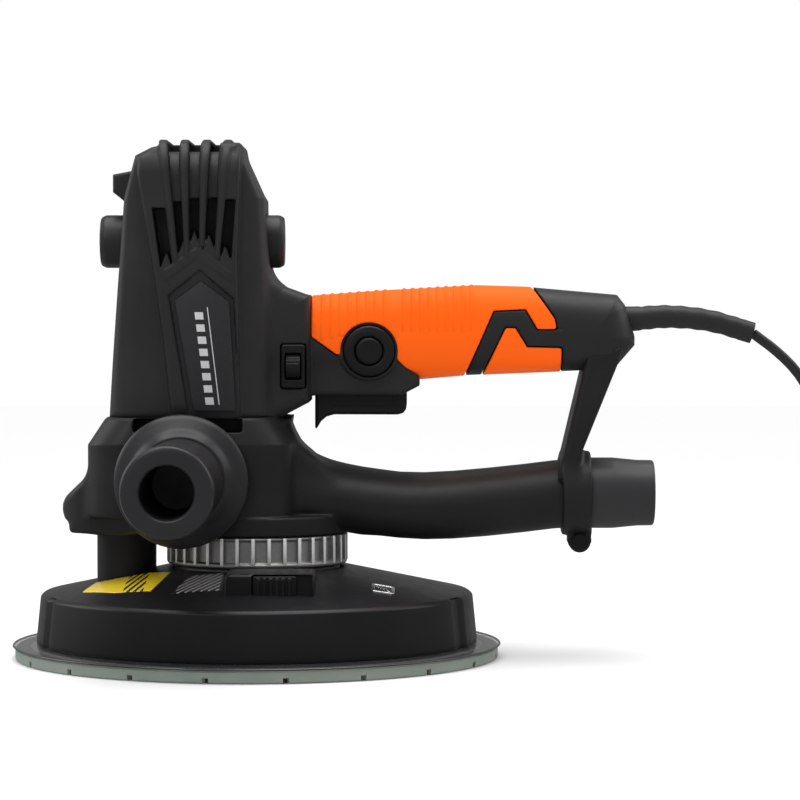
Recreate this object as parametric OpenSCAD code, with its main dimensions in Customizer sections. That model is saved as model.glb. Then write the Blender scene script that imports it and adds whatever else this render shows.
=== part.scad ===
// Hand-held surface sander with a dust-extraction head, a side handle and a cord.
// The origin is the centre of the abrasive face, on the disc's axis.
// +X points to the hose and cord end, +Z up. All sizes are in millimetres.

/* [Sanding head] */
// Diameter of the abrasive disc
disc_d = 180; // [150:1:200]
// Thickness of the abrasive disc
disc_t = 1.5; // [1:0.1:2]
// Thickness of the pad's foam
foam_t = 8; // [7:0.5:12]
// Thickness of the pad's backing plate
plate_t = 5; // [3:0.5:6]
// Diameter of the dust holes through the pad
dust_hole_d = 10; // [6:0.5:12]
// Number of dust holes through the pad
dust_holes = 8; // [4:1:12]
// Diameter of the circle of dust holes
dust_circle_d = 130; // [100:1:136]
// Diameter of the skirt flange
skirt_d = 240; // [234:1:260]
// Thickness of the skirt flange
skirt_t = 1.8; // [1.2:0.1:3]
// Height of the translucent light ring
ring_h = 6; // [5:0.5:9]
// Outer diameter of the light ring
ring_d = 236; // [228:1:240]
// Radial width of the light ring
ring_w = 7; // [5:0.5:8]
// Number of air notches in the light ring
ring_notches = 20; // [12:1:30]
// Width of an air notch
notch_w = 3; // [2:0.5:4]
// Height of an air notch
notch_h = 2.5; // [1.5:0.5:4]
// Diameter of the head cover at its foot
cover_d = 215.2; // [206:0.1:216]
// Height of the head cover's side wall
cover_h = 26; // [24:0.5:34]
// Rise of the head cover's conical top
cover_rise = 6; // [5:0.5:10]
// Wall of the head cover
cover_wall = 3; // [2:0.5:4]
// Outer diameter of the suction pipe
pipe_d = 29; // [24:0.5:32]
// Wall of the suction pipe
pipe_wall = 2; // [1.5:0.5:3]
// Distance from the disc axis to the suction pipe
pipe_x = 64; // [62:0.5:68]

/* [Drive] */
// Gear tooth module
gear_mod = 1; // [0.96:0.01:1.04]
// Teeth on the motor pinion
pinion_teeth = 12; // [12:1:13]
// Teeth on the drive gear
gear_teeth = 50; // [46:2:50]
// Face width of the gears
gear_w = 10; // [8:0.5:10]
// Diameter of the gear case over its fins
case_d = 89; // [88:0.5:96]
// Height of the finned band of the gear case
band_h = 15; // [15:0.5:22]
// Number of cooling fins round the gear case
case_fins = 36; // [24:1:40]
// Diameter of the output spindle
spindle_d = 15; // [12:0.5:17]
// Diameter of the armature shaft
shaft_d = 8; // [7:0.5:9]

/* [Motor] */
// Length of the motor shell along X at its foot
motor_l = 82; // [82:1:90]
// Width of the motor shell across Y
motor_w = 80; // [76:1:92]
// Height of the motor shell above its foot
motor_h = 131.4; // [130:0.1:160]
// Diameter of the stator
stator_d = 66; // [60:0.5:66]
// Height of the stator and armature cores
core_h = 50; // [40:1:52]
// Diameter of the armature core
armature_d = 37; // [32:0.5:38]
// Diameter of the commutator
commutator_d = 22; // [18:0.5:24]
// Diameter of the cooling fan
fan_d = 66; // [58:1:68]
// Number of fan blades
fan_blades = 14; // [8:1:20]
// Diameter of a brush cap
brush_cap_d = 26; // [20:0.5:28]
// Number of ribs over the motor's top
vent_ribs = 4; // [3:1:4]

/* [Lower housing] */
// Height of the lower housing
lower_h = 57; // [57:0.5:66]
// Wall of the lower housing
lower_wall = 3; // [2:0.5:4]

/* [Handle] */
// X of the handle's far end
handle_end = 184.6; // [180:0.1:210]
// Height of the handle's axis above the motor's foot
handle_rise = 41.5; // [41:0.5:44]
// Height of the handle's section
handle_h = 45; // [42:0.5:48]
// Width of the handle's section
handle_w = 40; // [37:0.5:46]
// Wall of the shell halves
shell_wall = 3; // [2:0.5:3.5]
// Thickness of the soft grip layer
grip_t = 1.5; // [1:0.1:2]
// Travel of the trigger
trigger_travel = 5; // [3:0.5:6]
// Diameter of the lock button
lock_d = 13.2; // [11:0.1:14]
// Travel of the lock button
lock_travel = 3; // [1.5:0.5:3]
// Length of the side handle
side_len = 95; // [80:1:120]
// Diameter of the side handle's hand guard
guard_d = 64; // [56:1:70]
// Diameter of the side handle's stud
stud_d = 8; // [6:0.5:10]

/* [Hose and cord] */
// Wall of the dust duct
duct_wall = 2.5; // [2:0.5:3]
// Outer diameter of the hose port at its mouth
port_d = 32; // [30:0.5:34]
// Wall of the hose port
port_wall = 2.5; // [2:0.5:3]
// Length of the hose port outside the collar
port_len = 31; // [24:1:40]
// Diameter of the cord
cord_d = 5; // [4.5:0.1:5.5]

/* [Hidden] */
$fn = 64;

// Clearances
run_gap = 0.04;
slide_gap = 0.4;
loose_gap = 0.15;

// Levels, from the abrasive face upwards
z_foam = disc_t;
z_plate = z_foam + foam_t;
z_hub = z_plate + plate_t;
z_cover = ring_h + skirt_t;
z_shoulder = z_cover + cover_h;
z_crown = z_shoulder + cover_rise;
base_h = 6.2;
z_band = z_crown + base_h;
z_deck = z_band + band_h;
z_motor = z_deck + lower_h;
z_top = z_motor + motor_h;
z_handle = z_motor + handle_rise;
z_port = z_deck + 19;
z_side = z_deck + 27;

// Places in plan
motor_x = -gear_mod * (pinion_teeth + gear_teeth) / 2;
body_left = motor_x - motor_l / 2;
body_right = motor_x + motor_l / 2;
neck_end = 26.5;
neck_w = 52;
side_x = motor_x - 3;
case_r = case_d / 2;
cover_r = cover_d / 2;
crown_r = case_r + 0.5;
eps = 0.01;

// ---- helpers ----

// Extrudes an outline drawn in X and Z between two values of Y
module side_cut(y0, y1) {
  translate([0, y1, 0]) rotate([90, 0, 0]) linear_extrude(y1 - y0) children();
}

// Extrudes an outline drawn in Y and Z between two values of X
module end_cut(x0, x1) {
  translate([x0, 0, 0]) rotate([90, 0, 90]) linear_extrude(x1 - x0) children();
}

// Extrudes a plan outline between two heights
module rise(z0, z1) {
  translate([0, 0, z0]) linear_extrude(z1 - z0) children();
}

// Round bar upwards
module bar_z(x, y, z0, z1, r) {
  translate([x, y, z0]) cylinder(r = r, h = z1 - z0);
}

// Round bar along X
module bar_x(x0, x1, y, z, r) {
  translate([x0, y, z]) rotate([0, 90, 0]) cylinder(r = r, h = x1 - x0);
}

// Round bar along Y
module bar_y(x, y0, y1, z, r) {
  translate([x, y0, z]) rotate([-90, 0, 0]) cylinder(r = r, h = y1 - y0);
}

// Tube upwards
module tube_z(x, y, z0, z1, r_out, r_in) {
  translate([x, y, z0]) difference() {
    cylinder(r = r_out, h = z1 - z0);
    translate([0, 0, -1]) cylinder(r = r_in, h = z1 - z0 + 2);
  }
}

// Box between two corners
module block(low, high) {
  translate(low) cube(high - low);
}

// Rectangle with round corners about the origin
module soft_rect(w, h, r) {
  square([w - 2 * r, h], center = true);
  square([w, h - 2 * r], center = true);
  for (sx = [-1, 1], sy = [-1, 1])
    translate([sx * (w / 2 - r), sy * (h / 2 - r)]) circle(r);
}

// Places children on a circle of a radius, first one at an angle
module on_circle(count, radius, first = 0) {
  for (k = [0:count - 1])
    rotate([0, 0, first + 360 * k / count]) translate([radius, 0, 0]) children();
}

// Closed skin through rings of equal length, capped at both ends
module loft(rings) {
  n = len(rings[0]);
  m = len(rings);
  polyhedron(
    points = [for (ring = rings) each ring],
    faces = concat(
      [[for (i = [0:n - 1]) i]],
      [for (j = [0:m - 2], i = [0:n - 1])
        [j * n + i, (j + 1) * n + i, (j + 1) * n + (i + 1) % n, j * n + (i + 1) % n]],
      [[for (i = [n - 1:-1:0]) (m - 1) * n + i]]
    )
  );
}

// Closed skin between outer and inner rings, open along its middle
module loft_tube(outer, inner) {
  n = len(outer[0]);
  m = len(outer);
  shift = n * m;
  polyhedron(
    points = concat([for (ring = outer) each ring], [for (ring = inner) each ring]),
    faces = concat(
      [for (j = [0:m - 2], i = [0:n - 1])
        [j * n + i, (j + 1) * n + i, (j + 1) * n + (i + 1) % n, j * n + (i + 1) % n]],
      [for (j = [0:m - 2], i = [0:n - 1])
        [shift + j * n + i, shift + j * n + (i + 1) % n,
         shift + (j + 1) * n + (i + 1) % n, shift + (j + 1) * n + i]],
      [for (i = [0:n - 1]) [i, (i + 1) % n, shift + (i + 1) % n, shift + i]],
      [for (i = [0:n - 1]) let (e = (m - 1) * n)
        [e + (i + 1) % n, e + i, shift + e + i, shift + e + (i + 1) % n]]
    )
  );
}

function unit(v) = v / norm(v);
// Direction of a route at one of its points
function heading(p, i) =
  unit(p[min(i + 1, len(p) - 1)] - p[max(i - 1, 0)]);
// Point of a smooth curve through four route points
function smooth(a, b, c, d, t) =
  0.5 * ((2 * b) + (c - a) * t + (2 * a - 5 * b + 4 * c - d) * t * t
    + (3 * b - a - 3 * c + d) * t * t * t);
// Route points with extra ones on a smooth curve between them
function refine(p, parts) = [
  for (i = [0:len(p) - 2], k = [0:parts - 1])
    smooth(p[max(i - 1, 0)], p[i], p[i + 1], p[min(i + 2, len(p) - 1)], k / parts),
  p[len(p) - 1]
];
// Ring of points round a route point, square to a heading that lies near X and Z
function ring_at(c, dir, r, sides) =
  let (a = unit(cross(dir, [0, 1, 0])), b = cross(dir, a))
  [for (k = [0:sides - 1])
    c + r * (cos(360 * k / sides) * a + sin(360 * k / sides) * b)];

// ---- sanding pad ----

module dust_hole_cuts() {
  on_circle(dust_holes, dust_circle_d / 2) translate([0, 0, -1])
    cylinder(d = dust_hole_d, h = z_hub + 2);
}

module abrasive_disc() {
  color("saddlebrown") difference() {
    cylinder(d = disc_d, h = disc_t);
    dust_hole_cuts();
  }
}

bolt_d = 8;
bolt_head_d = 20;
bolt_head_h = 4;
bolt_reach = 16;

module pad_foam() {
  color("dimgray") difference() {
    bar_z(0, 0, z_foam, z_plate, disc_d / 2);
    bar_z(0, 0, z_foam - 1, z_plate + 1, bolt_head_d / 2 + 1);
    dust_hole_cuts();
  }
}

module pad_plate() {
  color("silver") difference() {
    bar_z(0, 0, z_plate, z_hub, disc_d / 2 - 2);
    bar_z(0, 0, z_plate - 1, z_hub + 1, bolt_d / 2 + loose_gap);
    dust_hole_cuts();
  }
}

module pad_bolt() {
  color("gray") difference() {
    union() {
      bar_z(0, 0, z_plate - bolt_head_h, z_plate, bolt_head_d / 2);
      bar_z(0, 0, z_plate - 1, z_hub + bolt_reach, bolt_d / 2);
    }
    translate([0, 0, z_plate - bolt_head_h - 1]) cylinder(d = 6, h = 3.5, $fn = 6);
  }
}

// ---- spindle and gears ----

pinion_bore = 2.5;
hub_d = 32;
hub_h = 3.5;
gear_clear = 1.5;
case_floor = 3;
z_gear = z_band + case_floor + gear_clear;
z_gear_top = z_gear + gear_w;
journal_d = 10;
low_bearing_d = 32;
low_bearing_w = 9;
high_bearing_d = 26;
high_bearing_w = 8;
case_neck = 10;
z_low_bearing = z_crown - case_neck + 2;
z_high_bearing = z_deck + 1;
key_w = 4;

module gear_key() {
  color("gray")
    block([-key_w / 2, spindle_d / 2 - 2, z_gear], [key_w / 2, spindle_d / 2 + 1.8, z_gear_top]);
}

module spindle() {
  color("lightgray") difference() {
    union() {
      bar_z(0, 0, z_hub, z_hub + hub_h, hub_d / 2);
      bar_z(0, 0, z_hub, z_gear_top + 1, spindle_d / 2);
      bar_z(0, 0, z_hub, z_high_bearing + high_bearing_w, journal_d / 2);
    }
    bar_z(0, 0, z_hub - 1, z_hub + bolt_reach + 1, bolt_d / 2 + 0.02);
    block([-key_w / 2, spindle_d / 2 - 2, z_gear - eps], [key_w / 2, spindle_d, z_gear_top + eps]);
  }
}

module spindle_circlip() {
  color("dimgray") difference() {
    tube_z(0, 0, z_low_bearing - 1.4, z_low_bearing - 0.2, spindle_d / 2 + 2.2, spindle_d / 2);
    block([0, -1.2, z_low_bearing - 3], [spindle_d, 1.2, z_low_bearing]);
  }
}

pressure_angle = 20;
gear_tip = 0.85;
gear_root = 1.25;
gear_play = 0.12;

function roll_angle(a) = tan(a) * 180 / PI - a;
// Half the angle of a tooth at a radius
function tooth_half(r, pitch_r, base_r, teeth) =
  90 / teeth - gear_play / pitch_r * 90 / PI
    + roll_angle(pressure_angle) - roll_angle(acos(min(1, base_r / r)));
// Outline of a gear with a tooth on +X
function gear_outline(teeth) =
  let (
    pitch_r = gear_mod * teeth / 2,
    base_r = pitch_r * cos(pressure_angle),
    root_r = pitch_r - gear_root * gear_mod,
    tip_r = pitch_r + gear_tip * gear_mod,
    low_r = max(base_r, root_r),
    flank = [for (i = [0:3])
      let (r = low_r + (tip_r - low_r) * i / 3) [r, tooth_half(r, pitch_r, base_r, teeth)]],
    side = root_r < base_r ? concat([[root_r, flank[0][1]]], flank) : flank,
    last = len(side) - 1
  )
  [for (k = [0:teeth - 1]) each concat(
    [for (i = [0:last]) side[i][0] * [cos(360 * k / teeth - side[i][1]), sin(360 * k / teeth - side[i][1])]],
    [for (i = [last:-1:0])
      side[i][0] * [cos(360 * k / teeth + side[i][1]), sin(360 * k / teeth + side[i][1])]]
  )];

module drive_gear() {
  color("darkgray") difference() {
    rise(z_gear, z_gear_top) polygon(gear_outline(gear_teeth));
    bar_z(0, 0, z_gear - 1, z_gear_top + 1, spindle_d / 2);
    block([-key_w / 2, 0, z_gear - 1], [key_w / 2, spindle_d / 2 + 1.8, z_gear_top + 1]);
    on_circle(6, gear_mod * gear_teeth / 3, 30) bar_z(0, 0, z_gear - 1, z_gear_top + 1, 3.2);
  }
}

module pinion() {
  // An even drive gear has a tooth on -X, so the pinion shows it a gap
  color("gray") difference() {
    translate([motor_x, 0, 0]) rotate([0, 0, 180 / pinion_teeth])
      rise(z_gear, z_gear_top) polygon(gear_outline(pinion_teeth));
    bar_z(motor_x, 0, z_gear - 1, z_gear_top + 1, pinion_bore);
  }
}

module spindle_bearings() {
  color("silver") {
    tube_z(0, 0, z_low_bearing, z_low_bearing + low_bearing_w,
      low_bearing_d / 2, spindle_d / 2 + run_gap);
    tube_z(0, 0, z_high_bearing, z_high_bearing + high_bearing_w,
      high_bearing_d / 2, journal_d / 2 + run_gap);
  }
}

// ---- gear case and its screws ----

fin_depth = 2.5;
screw_r = 2.5;
screw_head_r = 4.4;
case_screw_r = 35;
cover_screw_r = 33;

module gear_room(z0, z1) {
  bar_z(0, 0, z0, z1, gear_mod * (gear_teeth / 2 + 1) + 3);
  bar_z(motor_x, 0, z0, z1, gear_mod * (pinion_teeth / 2 + 1) + 1.5);
}

module gear_case() {
  color("lightgray") difference() {
    union() {
      bar_z(0, 0, z_band, z_deck, case_r - fin_depth);
      bar_z(0, 0, z_crown, z_band + eps, case_r - fin_depth - 1.5);
      bar_z(0, 0, z_crown - case_neck, z_crown + eps, low_bearing_d / 2 + 4);
      on_circle(case_fins, case_r - fin_depth - 1) translate([0, -0.9, z_band])
        cube([fin_depth + 1, 1.8, band_h]);
      tube_z(0, 0, z_band, z_band + 1.6, case_r - 0.4, case_r - fin_depth - 1);
    }
    gear_room(z_band + case_floor, z_deck + 1);
    bar_z(0, 0, z_crown - case_neck - 1, z_low_bearing + low_bearing_w, low_bearing_d / 2);
    bar_z(0, 0, z_crown - case_neck, z_deck, spindle_d / 2 + 1);
    on_circle(4, case_screw_r, 45) {
      bar_z(0, 0, z_crown - 1, z_deck + 1, screw_r);
      bar_z(0, 0, z_crown - 1, z_crown + 4, screw_head_r + loose_gap);
    }
    on_circle(4, cover_screw_r) bar_z(0, 0, z_crown - 1, z_crown + 5, 2);
  }
}

module gear_case_screws() {
  color("gray") on_circle(4, case_screw_r, 45) {
    bar_z(0, 0, z_crown + 1, z_crown + 4, screw_head_r);
    bar_z(0, 0, z_crown + 2, z_deck + 9, screw_r);
  }
}

module cover_screws() {
  color("gray") on_circle(4, cover_screw_r) {
    bar_z(0, 0, z_crown - cover_wall - 2.5, z_crown - cover_wall, 4);
    bar_z(0, 0, z_crown - cover_wall - 1, z_crown + 5, 2);
  }
}

// ---- head cover, skirt and light ring ----

// Half outline of the cover's outer surface, from its foot to its crown
cover_lean = 2.4;
rim_r = 3;

function cover_outline(inset) = [
  [cover_r - inset, z_cover],
  [cover_r - cover_lean - inset, z_shoulder - inset],
  [cover_r - cover_lean - rim_r * 0.3 - inset, z_shoulder + rim_r * 0.45 - inset],
  [cover_r - cover_lean - rim_r - inset, z_shoulder + rim_r * 0.6 - inset],
  [crown_r, z_crown - inset]
];

module cover_body() {
  hole_r = low_bearing_d / 2 + 4 + loose_gap;
  inner = cover_outline(cover_wall);
  rotate_extrude() polygon(concat(
    cover_outline(0),
    [[hole_r, z_crown], [hole_r, z_crown - cover_wall]],
    [for (i = [len(inner) - 1:-1:0]) inner[i]]
  ));
}

// Suction regulator on the front of the cover's top
reg_low_x = -11.6;
reg_high_x = 30;
reg_front = -80;
reg_back = -case_r - 1;
reg_top = z_crown + 6.7;
reg_slot_low = z_crown - 4.8;
reg_slot_high = z_crown + 6;
slider_low_x = 1.4;
slider_w = 20.4;
slider_travel = 7;
slider_depth = 3;

module head_cover() {
  color([0.07, 0.07, 0.08]) difference() {
    union() {
      cover_body();
      difference() {
        block([reg_low_x, reg_front, z_shoulder - 1], [reg_high_x, reg_back, reg_top]);
        block([reg_low_x + 2, reg_front + slider_depth + 2, z_shoulder - 2],
          [reg_high_x - 2, reg_back - 2, reg_top - 2]);
      }
    }
    block([slider_low_x - slide_gap, reg_front - 1, reg_slot_low - slide_gap],
      [slider_low_x + slider_w + slider_travel + slide_gap, reg_front + slider_depth,
        reg_slot_high + slide_gap]);
    block([slider_low_x + 2, reg_front, z_crown - 1], [slider_low_x + 12, reg_front + 6, z_crown + 3]);
    block([reg_low_x + 4, reg_front + 8, z_shoulder - cover_wall - 4],
      [reg_high_x - 4, reg_back - 6, reg_top - 2]);
    bar_z(-pipe_x, 0, z_shoulder - 8, z_crown + 2, pipe_d / 2 + loose_gap);
    on_circle(4, cover_screw_r) bar_z(0, 0, z_crown - cover_wall - 1, z_crown + 1, 2.1);
  }
}

module suction_slider() {
  front = reg_front + slider_depth - slide_gap;
  color([0.1, 0.1, 0.11]) {
    block([slider_low_x, reg_front + 0.6, reg_slot_low],
      [slider_low_x + slider_w, front, reg_slot_high]);
    for (k = [0:6])
      translate([slider_low_x + 1 + k * 2.9, reg_front - 0.8, reg_slot_low + 0.6])
        cube([1.2, 2, reg_slot_high - reg_slot_low - 1.2]);
  }
}

module suction_pipe() {
  color([0.07, 0.07, 0.08])
    tube_z(-pipe_x, 0, z_crown - 7, z_deck + lower_floor, pipe_d / 2, pipe_d / 2 - pipe_wall);
}

skirt_in = 100;

module skirt_flange() {
  color([0.55, 0.57, 0.6, 0.5])
    tube_z(0, 0, ring_h, z_cover, skirt_d / 2, min(skirt_in, cover_r - cover_wall - 2));
}

module light_ring() {
  color([0.72, 0.78, 0.74]) difference() {
    tube_z(0, 0, 0, ring_h, ring_d / 2, ring_d / 2 - ring_w);
    on_circle(ring_notches, ring_d / 2 - ring_w - 2, 9)
      translate([0, -notch_w / 2, -1]) cube([ring_w + 4, notch_w, notch_h + 1]);
  }
}

module led_strip() {
  strip_r = ring_d / 2 - ring_w - 0.5;
  color("ivory") {
    tube_z(0, 0, ring_h - 1, ring_h, strip_r, strip_r - 4);
    on_circle(36, strip_r - 2) translate([-1.4, -1.4, ring_h - 2]) cube([2.8, 2.8, 1.2]);
  }
}

// Thin layer on the cover's cone, cut to an outline in plan
label_t = 0.4;

module cone_layer(t) {
  start = cover_r - cover_lean - rim_r;
  intersection() {
    rotate_extrude() polygon([
      [start, z_shoulder + rim_r * 0.6], [start, z_shoulder + rim_r * 0.6 + t],
      [crown_r, z_crown + t], [crown_r, z_crown]
    ]);
    rise(z_shoulder - 5, z_crown + 5) children();
  }
}

module warning_label() {
  color("gold") cone_layer(label_t) polygon([[-84, -44], [-66, -68], [-38, -68], [-50, -26], [-80, -20]]);
}

module info_label() {
  color("darkslategray") cone_layer(label_t) polygon([[-36, -72], [-14, -76], [-14, -48], [-30, -44]]);
}

module badge() {
  color("silver") cone_layer(1) translate([62, -50]) soft_rect(12, 16, 3);
}

// ---- lower housing, with the fan room and the dust channel ----

lower_floor = 5;
fan_room_h = 17;
motor_bearing_d = 22;
motor_bearing_w = 7;
z_motor_bearing = z_deck + 1.5;
duct_start = 44;
duct_start_w = 44;
boss_r = 17;
boss_face = motor_w / 2 + 5;

stud_in = 24;
spare_hole_r = 3.4;
housing_screw_xs = [motor_x - 31, motor_x + 31];
housing_screw_y = motor_w / 2 - 9.5;

// Side outline of the lower housing, as height above the deck
module lower_outline() {
  polygon([
    [body_left + 0.5, z_motor], [body_left - 9.3, z_motor - 12.7],
    [body_left - 10.3, z_motor - 27.8], [-95.6, z_deck + 15.4], [-99, z_deck + 13],
    [-98.5, z_deck + 10], [-95, z_deck + 7.2], [-90.7, z_deck + 5.2],
    [-90.7, z_deck + 1.7], [-78.4, z_deck + 0.7], [-70, z_deck], [duct_start, z_deck],
    [duct_start, z_deck + 35.5], [27, z_deck + 41.4], [20.6, z_deck + 47.3],
    [17.2, z_deck + 53.2], [18, z_motor]
  ]);
}

// The same outline for the dust channel inside it
module channel_outline() {
  polygon([
    [-78, z_deck + 36], [-79, z_deck + 30], [-91.5, z_deck + 16], [-94, z_deck + 12.5],
    [-88, z_deck + 8], [-87, z_deck + lower_floor], [duct_start + 1, z_deck + lower_floor],
    [duct_start + 1, z_deck + 31], [24, z_deck + 36]
  ]);
}

module body_plan(inset) {
  translate([motor_x, 0]) soft_rect(motor_l - 2 * inset, motor_w - 2 * inset, 18 - inset);
}

module lower_plan(inset) {
  body_plan(inset);
  translate([motor_x, 0]) soft_rect(motor_l + 22 - 2 * inset, motor_w - 10 - 2 * inset, 24 - inset);
  circle(case_r - 1 - inset);
  translate([-72, 0]) circle(27 - inset);
  translate([0, -duct_start_w / 2 + inset]) square([duct_start + 1, duct_start_w - 2 * inset]);
}

module lower_housing() {
  fan_floor = z_motor - fan_room_h;
  color([0.07, 0.07, 0.08]) difference() {
    union() {
      intersection() {
        side_cut(-60, 60) lower_outline();
        rise(z_deck - 1, z_motor + 1) lower_plan(0);
      }
      bar_y(side_x, -boss_face, boss_face, z_side, boss_r);
    }
    difference() {
      intersection() {
        side_cut(-60, 60) channel_outline();
        rise(z_deck, z_motor) lower_plan(lower_wall);
      }
      bar_z(motor_x, 0, z_deck, z_motor, motor_bearing_d / 2 + 4);
      bar_z(0, 0, z_deck, z_high_bearing + high_bearing_w + 4, high_bearing_d / 2 + 4);
      bar_y(side_x, -boss_face, -20, z_side, 9);
      bar_y(side_x, 20, boss_face, z_side, 9);
      on_circle(4, case_screw_r, 45) bar_z(0, 0, z_deck, z_deck + 12, 6);
    }
    bar_z(motor_x, 0, fan_floor, z_motor + 1, fan_d / 2 + 2);
    bar_z(motor_x, 0, z_deck - 1, z_motor, shaft_d / 2 + 1.5);
    bar_z(motor_x, 0, z_deck - 1, z_motor_bearing + motor_bearing_w, motor_bearing_d / 2);
    bar_z(0, 0, z_deck - 1, z_high_bearing + high_bearing_w + 0.5, high_bearing_d / 2);
    bar_z(-pipe_x, 0, z_deck - 1, z_deck + lower_floor + 2, pipe_d / 2 + loose_gap);
    on_circle(4, case_screw_r, 45) bar_z(0, 0, z_deck - 1, z_deck + 9, screw_r);
    bar_y(side_x, -boss_face - 1, -stud_in, z_side, stud_d / 2);
    bar_y(side_x, stud_in, boss_face + 1, z_side, spare_hole_r);
    for (s = [-1, 1]) {
      block([motor_x - 26, s > 0 ? 20 : -60, z_motor - 7], [motor_x + 26, s > 0 ? 60 : -20, z_motor - 0.5]);
      for (x = housing_screw_xs) {
        bar_z(x, s * housing_screw_y, fan_floor - 5, z_motor + 1, screw_r);
        bar_z(x, s * housing_screw_y, fan_floor - 6, fan_floor + 2, screw_head_r + loose_gap);
      }
    }
  }
}

module housing_screws() {
  fan_floor = z_motor - fan_room_h;
  color("gray") for (x = housing_screw_xs, s = [-1, 1]) {
    bar_z(x, s * housing_screw_y, fan_floor - 1, fan_floor + 2, screw_head_r);
    bar_z(x, s * housing_screw_y, fan_floor, z_motor + 16, screw_r);
  }
}

// ---- motor ----

core_low = z_motor + 15;
core_high = core_low + core_h;
end_winding = 8;
commutator_h = 16;
z_commutator = core_high + end_winding + 4;
z_brush = z_commutator + commutator_h / 2;
fan_h = 12;
z_fan = z_motor - fan_room_h + 2;
cap_bearing = motor_h - 13.4;
z_cap_bearing = z_motor + cap_bearing;
shaft_foot = z_gear - 1;

module motor_bearings() {
  color("silver") for (z = [z_motor_bearing, z_cap_bearing])
    tube_z(motor_x, 0, z, z + motor_bearing_w, motor_bearing_d / 2, shaft_d / 2 + run_gap);
}

module armature_shaft() {
  color("lightgray") {
    bar_z(motor_x, 0, shaft_foot, z_deck, pinion_bore);
    bar_z(motor_x, 0, z_gear_top, z_cap_bearing + motor_bearing_w, shaft_d / 2);
  }
}

module fan() {
  hub_r = 9;
  color([0.15, 0.15, 0.16]) difference() {
    union() {
      bar_z(motor_x, 0, z_fan, z_fan + 1.6, fan_d / 2);
      bar_z(motor_x, 0, z_fan, z_fan + fan_h, hub_r);
      translate([motor_x, 0, z_fan]) on_circle(fan_blades, hub_r + 5)
        rotate([0, 0, 22]) translate([-1, -0.7, 0]) cube([fan_d / 2 - hub_r - 7, 1.4, fan_h]);
    }
    bar_z(motor_x, 0, z_fan - 1, z_fan + fan_h + 1, shaft_d / 2);
  }
}

module fan_baffle() {
  color("dimgray") tube_z(motor_x, 0, z_motor, z_motor + 2, stator_d / 2, stator_d / 2 - 12);
}

module armature_core() {
  color("slategray") difference() {
    bar_z(motor_x, 0, core_low, core_high, armature_d / 2);
    bar_z(motor_x, 0, core_low - 1, core_high + 1, shaft_d / 2);
    translate([motor_x, 0, core_low - 1]) on_circle(12, armature_d / 2)
      translate([-2.5, -0.7, 0]) cube([4, 1.4, core_h + 2]);
  }
}

module armature_windings() {
  color("chocolate") for (z = [core_low - end_winding, core_high])
    tube_z(motor_x, 0, z, z + end_winding, armature_d / 2 - 2, shaft_d / 2);
}

module commutator() {
  color("peru") tube_z(motor_x, 0, z_commutator, z_commutator + commutator_h,
    commutator_d / 2, shaft_d / 2);
}

air_gap = 0.6;

module stator() {
  color("silver") difference() {
    bar_z(motor_x, 0, core_low, core_high, stator_d / 2);
    bar_z(motor_x, 0, core_low - 1, core_high + 1, armature_d / 2 + air_gap);
    for (s = [-1, 1])
      block([motor_x - 12, s > 0 ? armature_d / 2 - 2 : -armature_d / 2 - 5, core_low - 1],
        [motor_x + 12, s > 0 ? armature_d / 2 + 5 : 2 - armature_d / 2, core_high + 1]);
  }
}

module field_windings() {
  inner = armature_d / 2 + 2;
  color("sienna") for (s = [-1, 1]) {
    for (z = [core_low - end_winding, core_high])
      intersection() {
        tube_z(motor_x, 0, z, z + end_winding, stator_d / 2 - 4, inner);
        block([motor_x - 14, s > 0 ? 5 : -40, z - 1], [motor_x + 14, s > 0 ? 40 : -5, z + end_winding + 1]);
      }
    block([motor_x - 10, s > 0 ? inner : -inner - 2.4, core_low],
      [motor_x + 10, s > 0 ? inner + 2.4 : -inner, core_high]);
  }
}

brush_end = 33;

module brush_pair() {
  translate([motor_x, 0, z_brush]) for (s = [0, 180]) rotate([0, 0, s]) children();
}

module carbon_brushes() {
  color([0.12, 0.12, 0.12]) brush_pair()
    block([commutator_d / 2 + 0.3, -3, -4], [commutator_d / 2 + 14, 3, 4]);
}

module brush_holders() {
  start = commutator_d / 2 + 2;
  color("goldenrod") brush_pair() difference() {
    block([start, -4.5, -5.5], [brush_end - 5.2, 4.5, 5.5]);
    block([start - 1, -3, -4], [brush_end, 3, 4]);
  }
}

cap_low_x = body_left - 4;
cap_high_x = body_right + 3.6;

module brush_caps() {
  color([0.08, 0.08, 0.09]) {
    bar_x(cap_low_x, motor_x - brush_end, 0, z_brush, brush_cap_d / 2);
    bar_x(motor_x + brush_end, cap_high_x, 0, z_brush, brush_cap_d / 2);
  }
}

// ---- shell halves ----

strut_foot = 148.5;

// Side outline of the motor part
module motor_outline() {
  polygon([
    [body_left, z_motor], [body_left + 8.3, z_top - 26], [body_left + 13.7, z_top - 5.9],
    [body_left + 23, z_top], [body_right - 17.8, z_top], [body_right - 6.6, z_top - 23.2],
    [body_right - 4.5, z_top - 26], [body_right - 2.2, z_top - 64.7], [body_right, z_motor]
  ]);
}

// Side outline of the neck between the motor and the handle
module neck_outline() {
  polygon([
    [motor_x + 20, z_motor], [13, z_motor], [neck_end, z_motor + 7.1],
    [neck_end, z_handle + 16.9], [14.4, z_handle + 21.3], [5, z_handle + 28.5],
    [motor_x + 20, z_handle + 30]
  ]);
}

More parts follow.
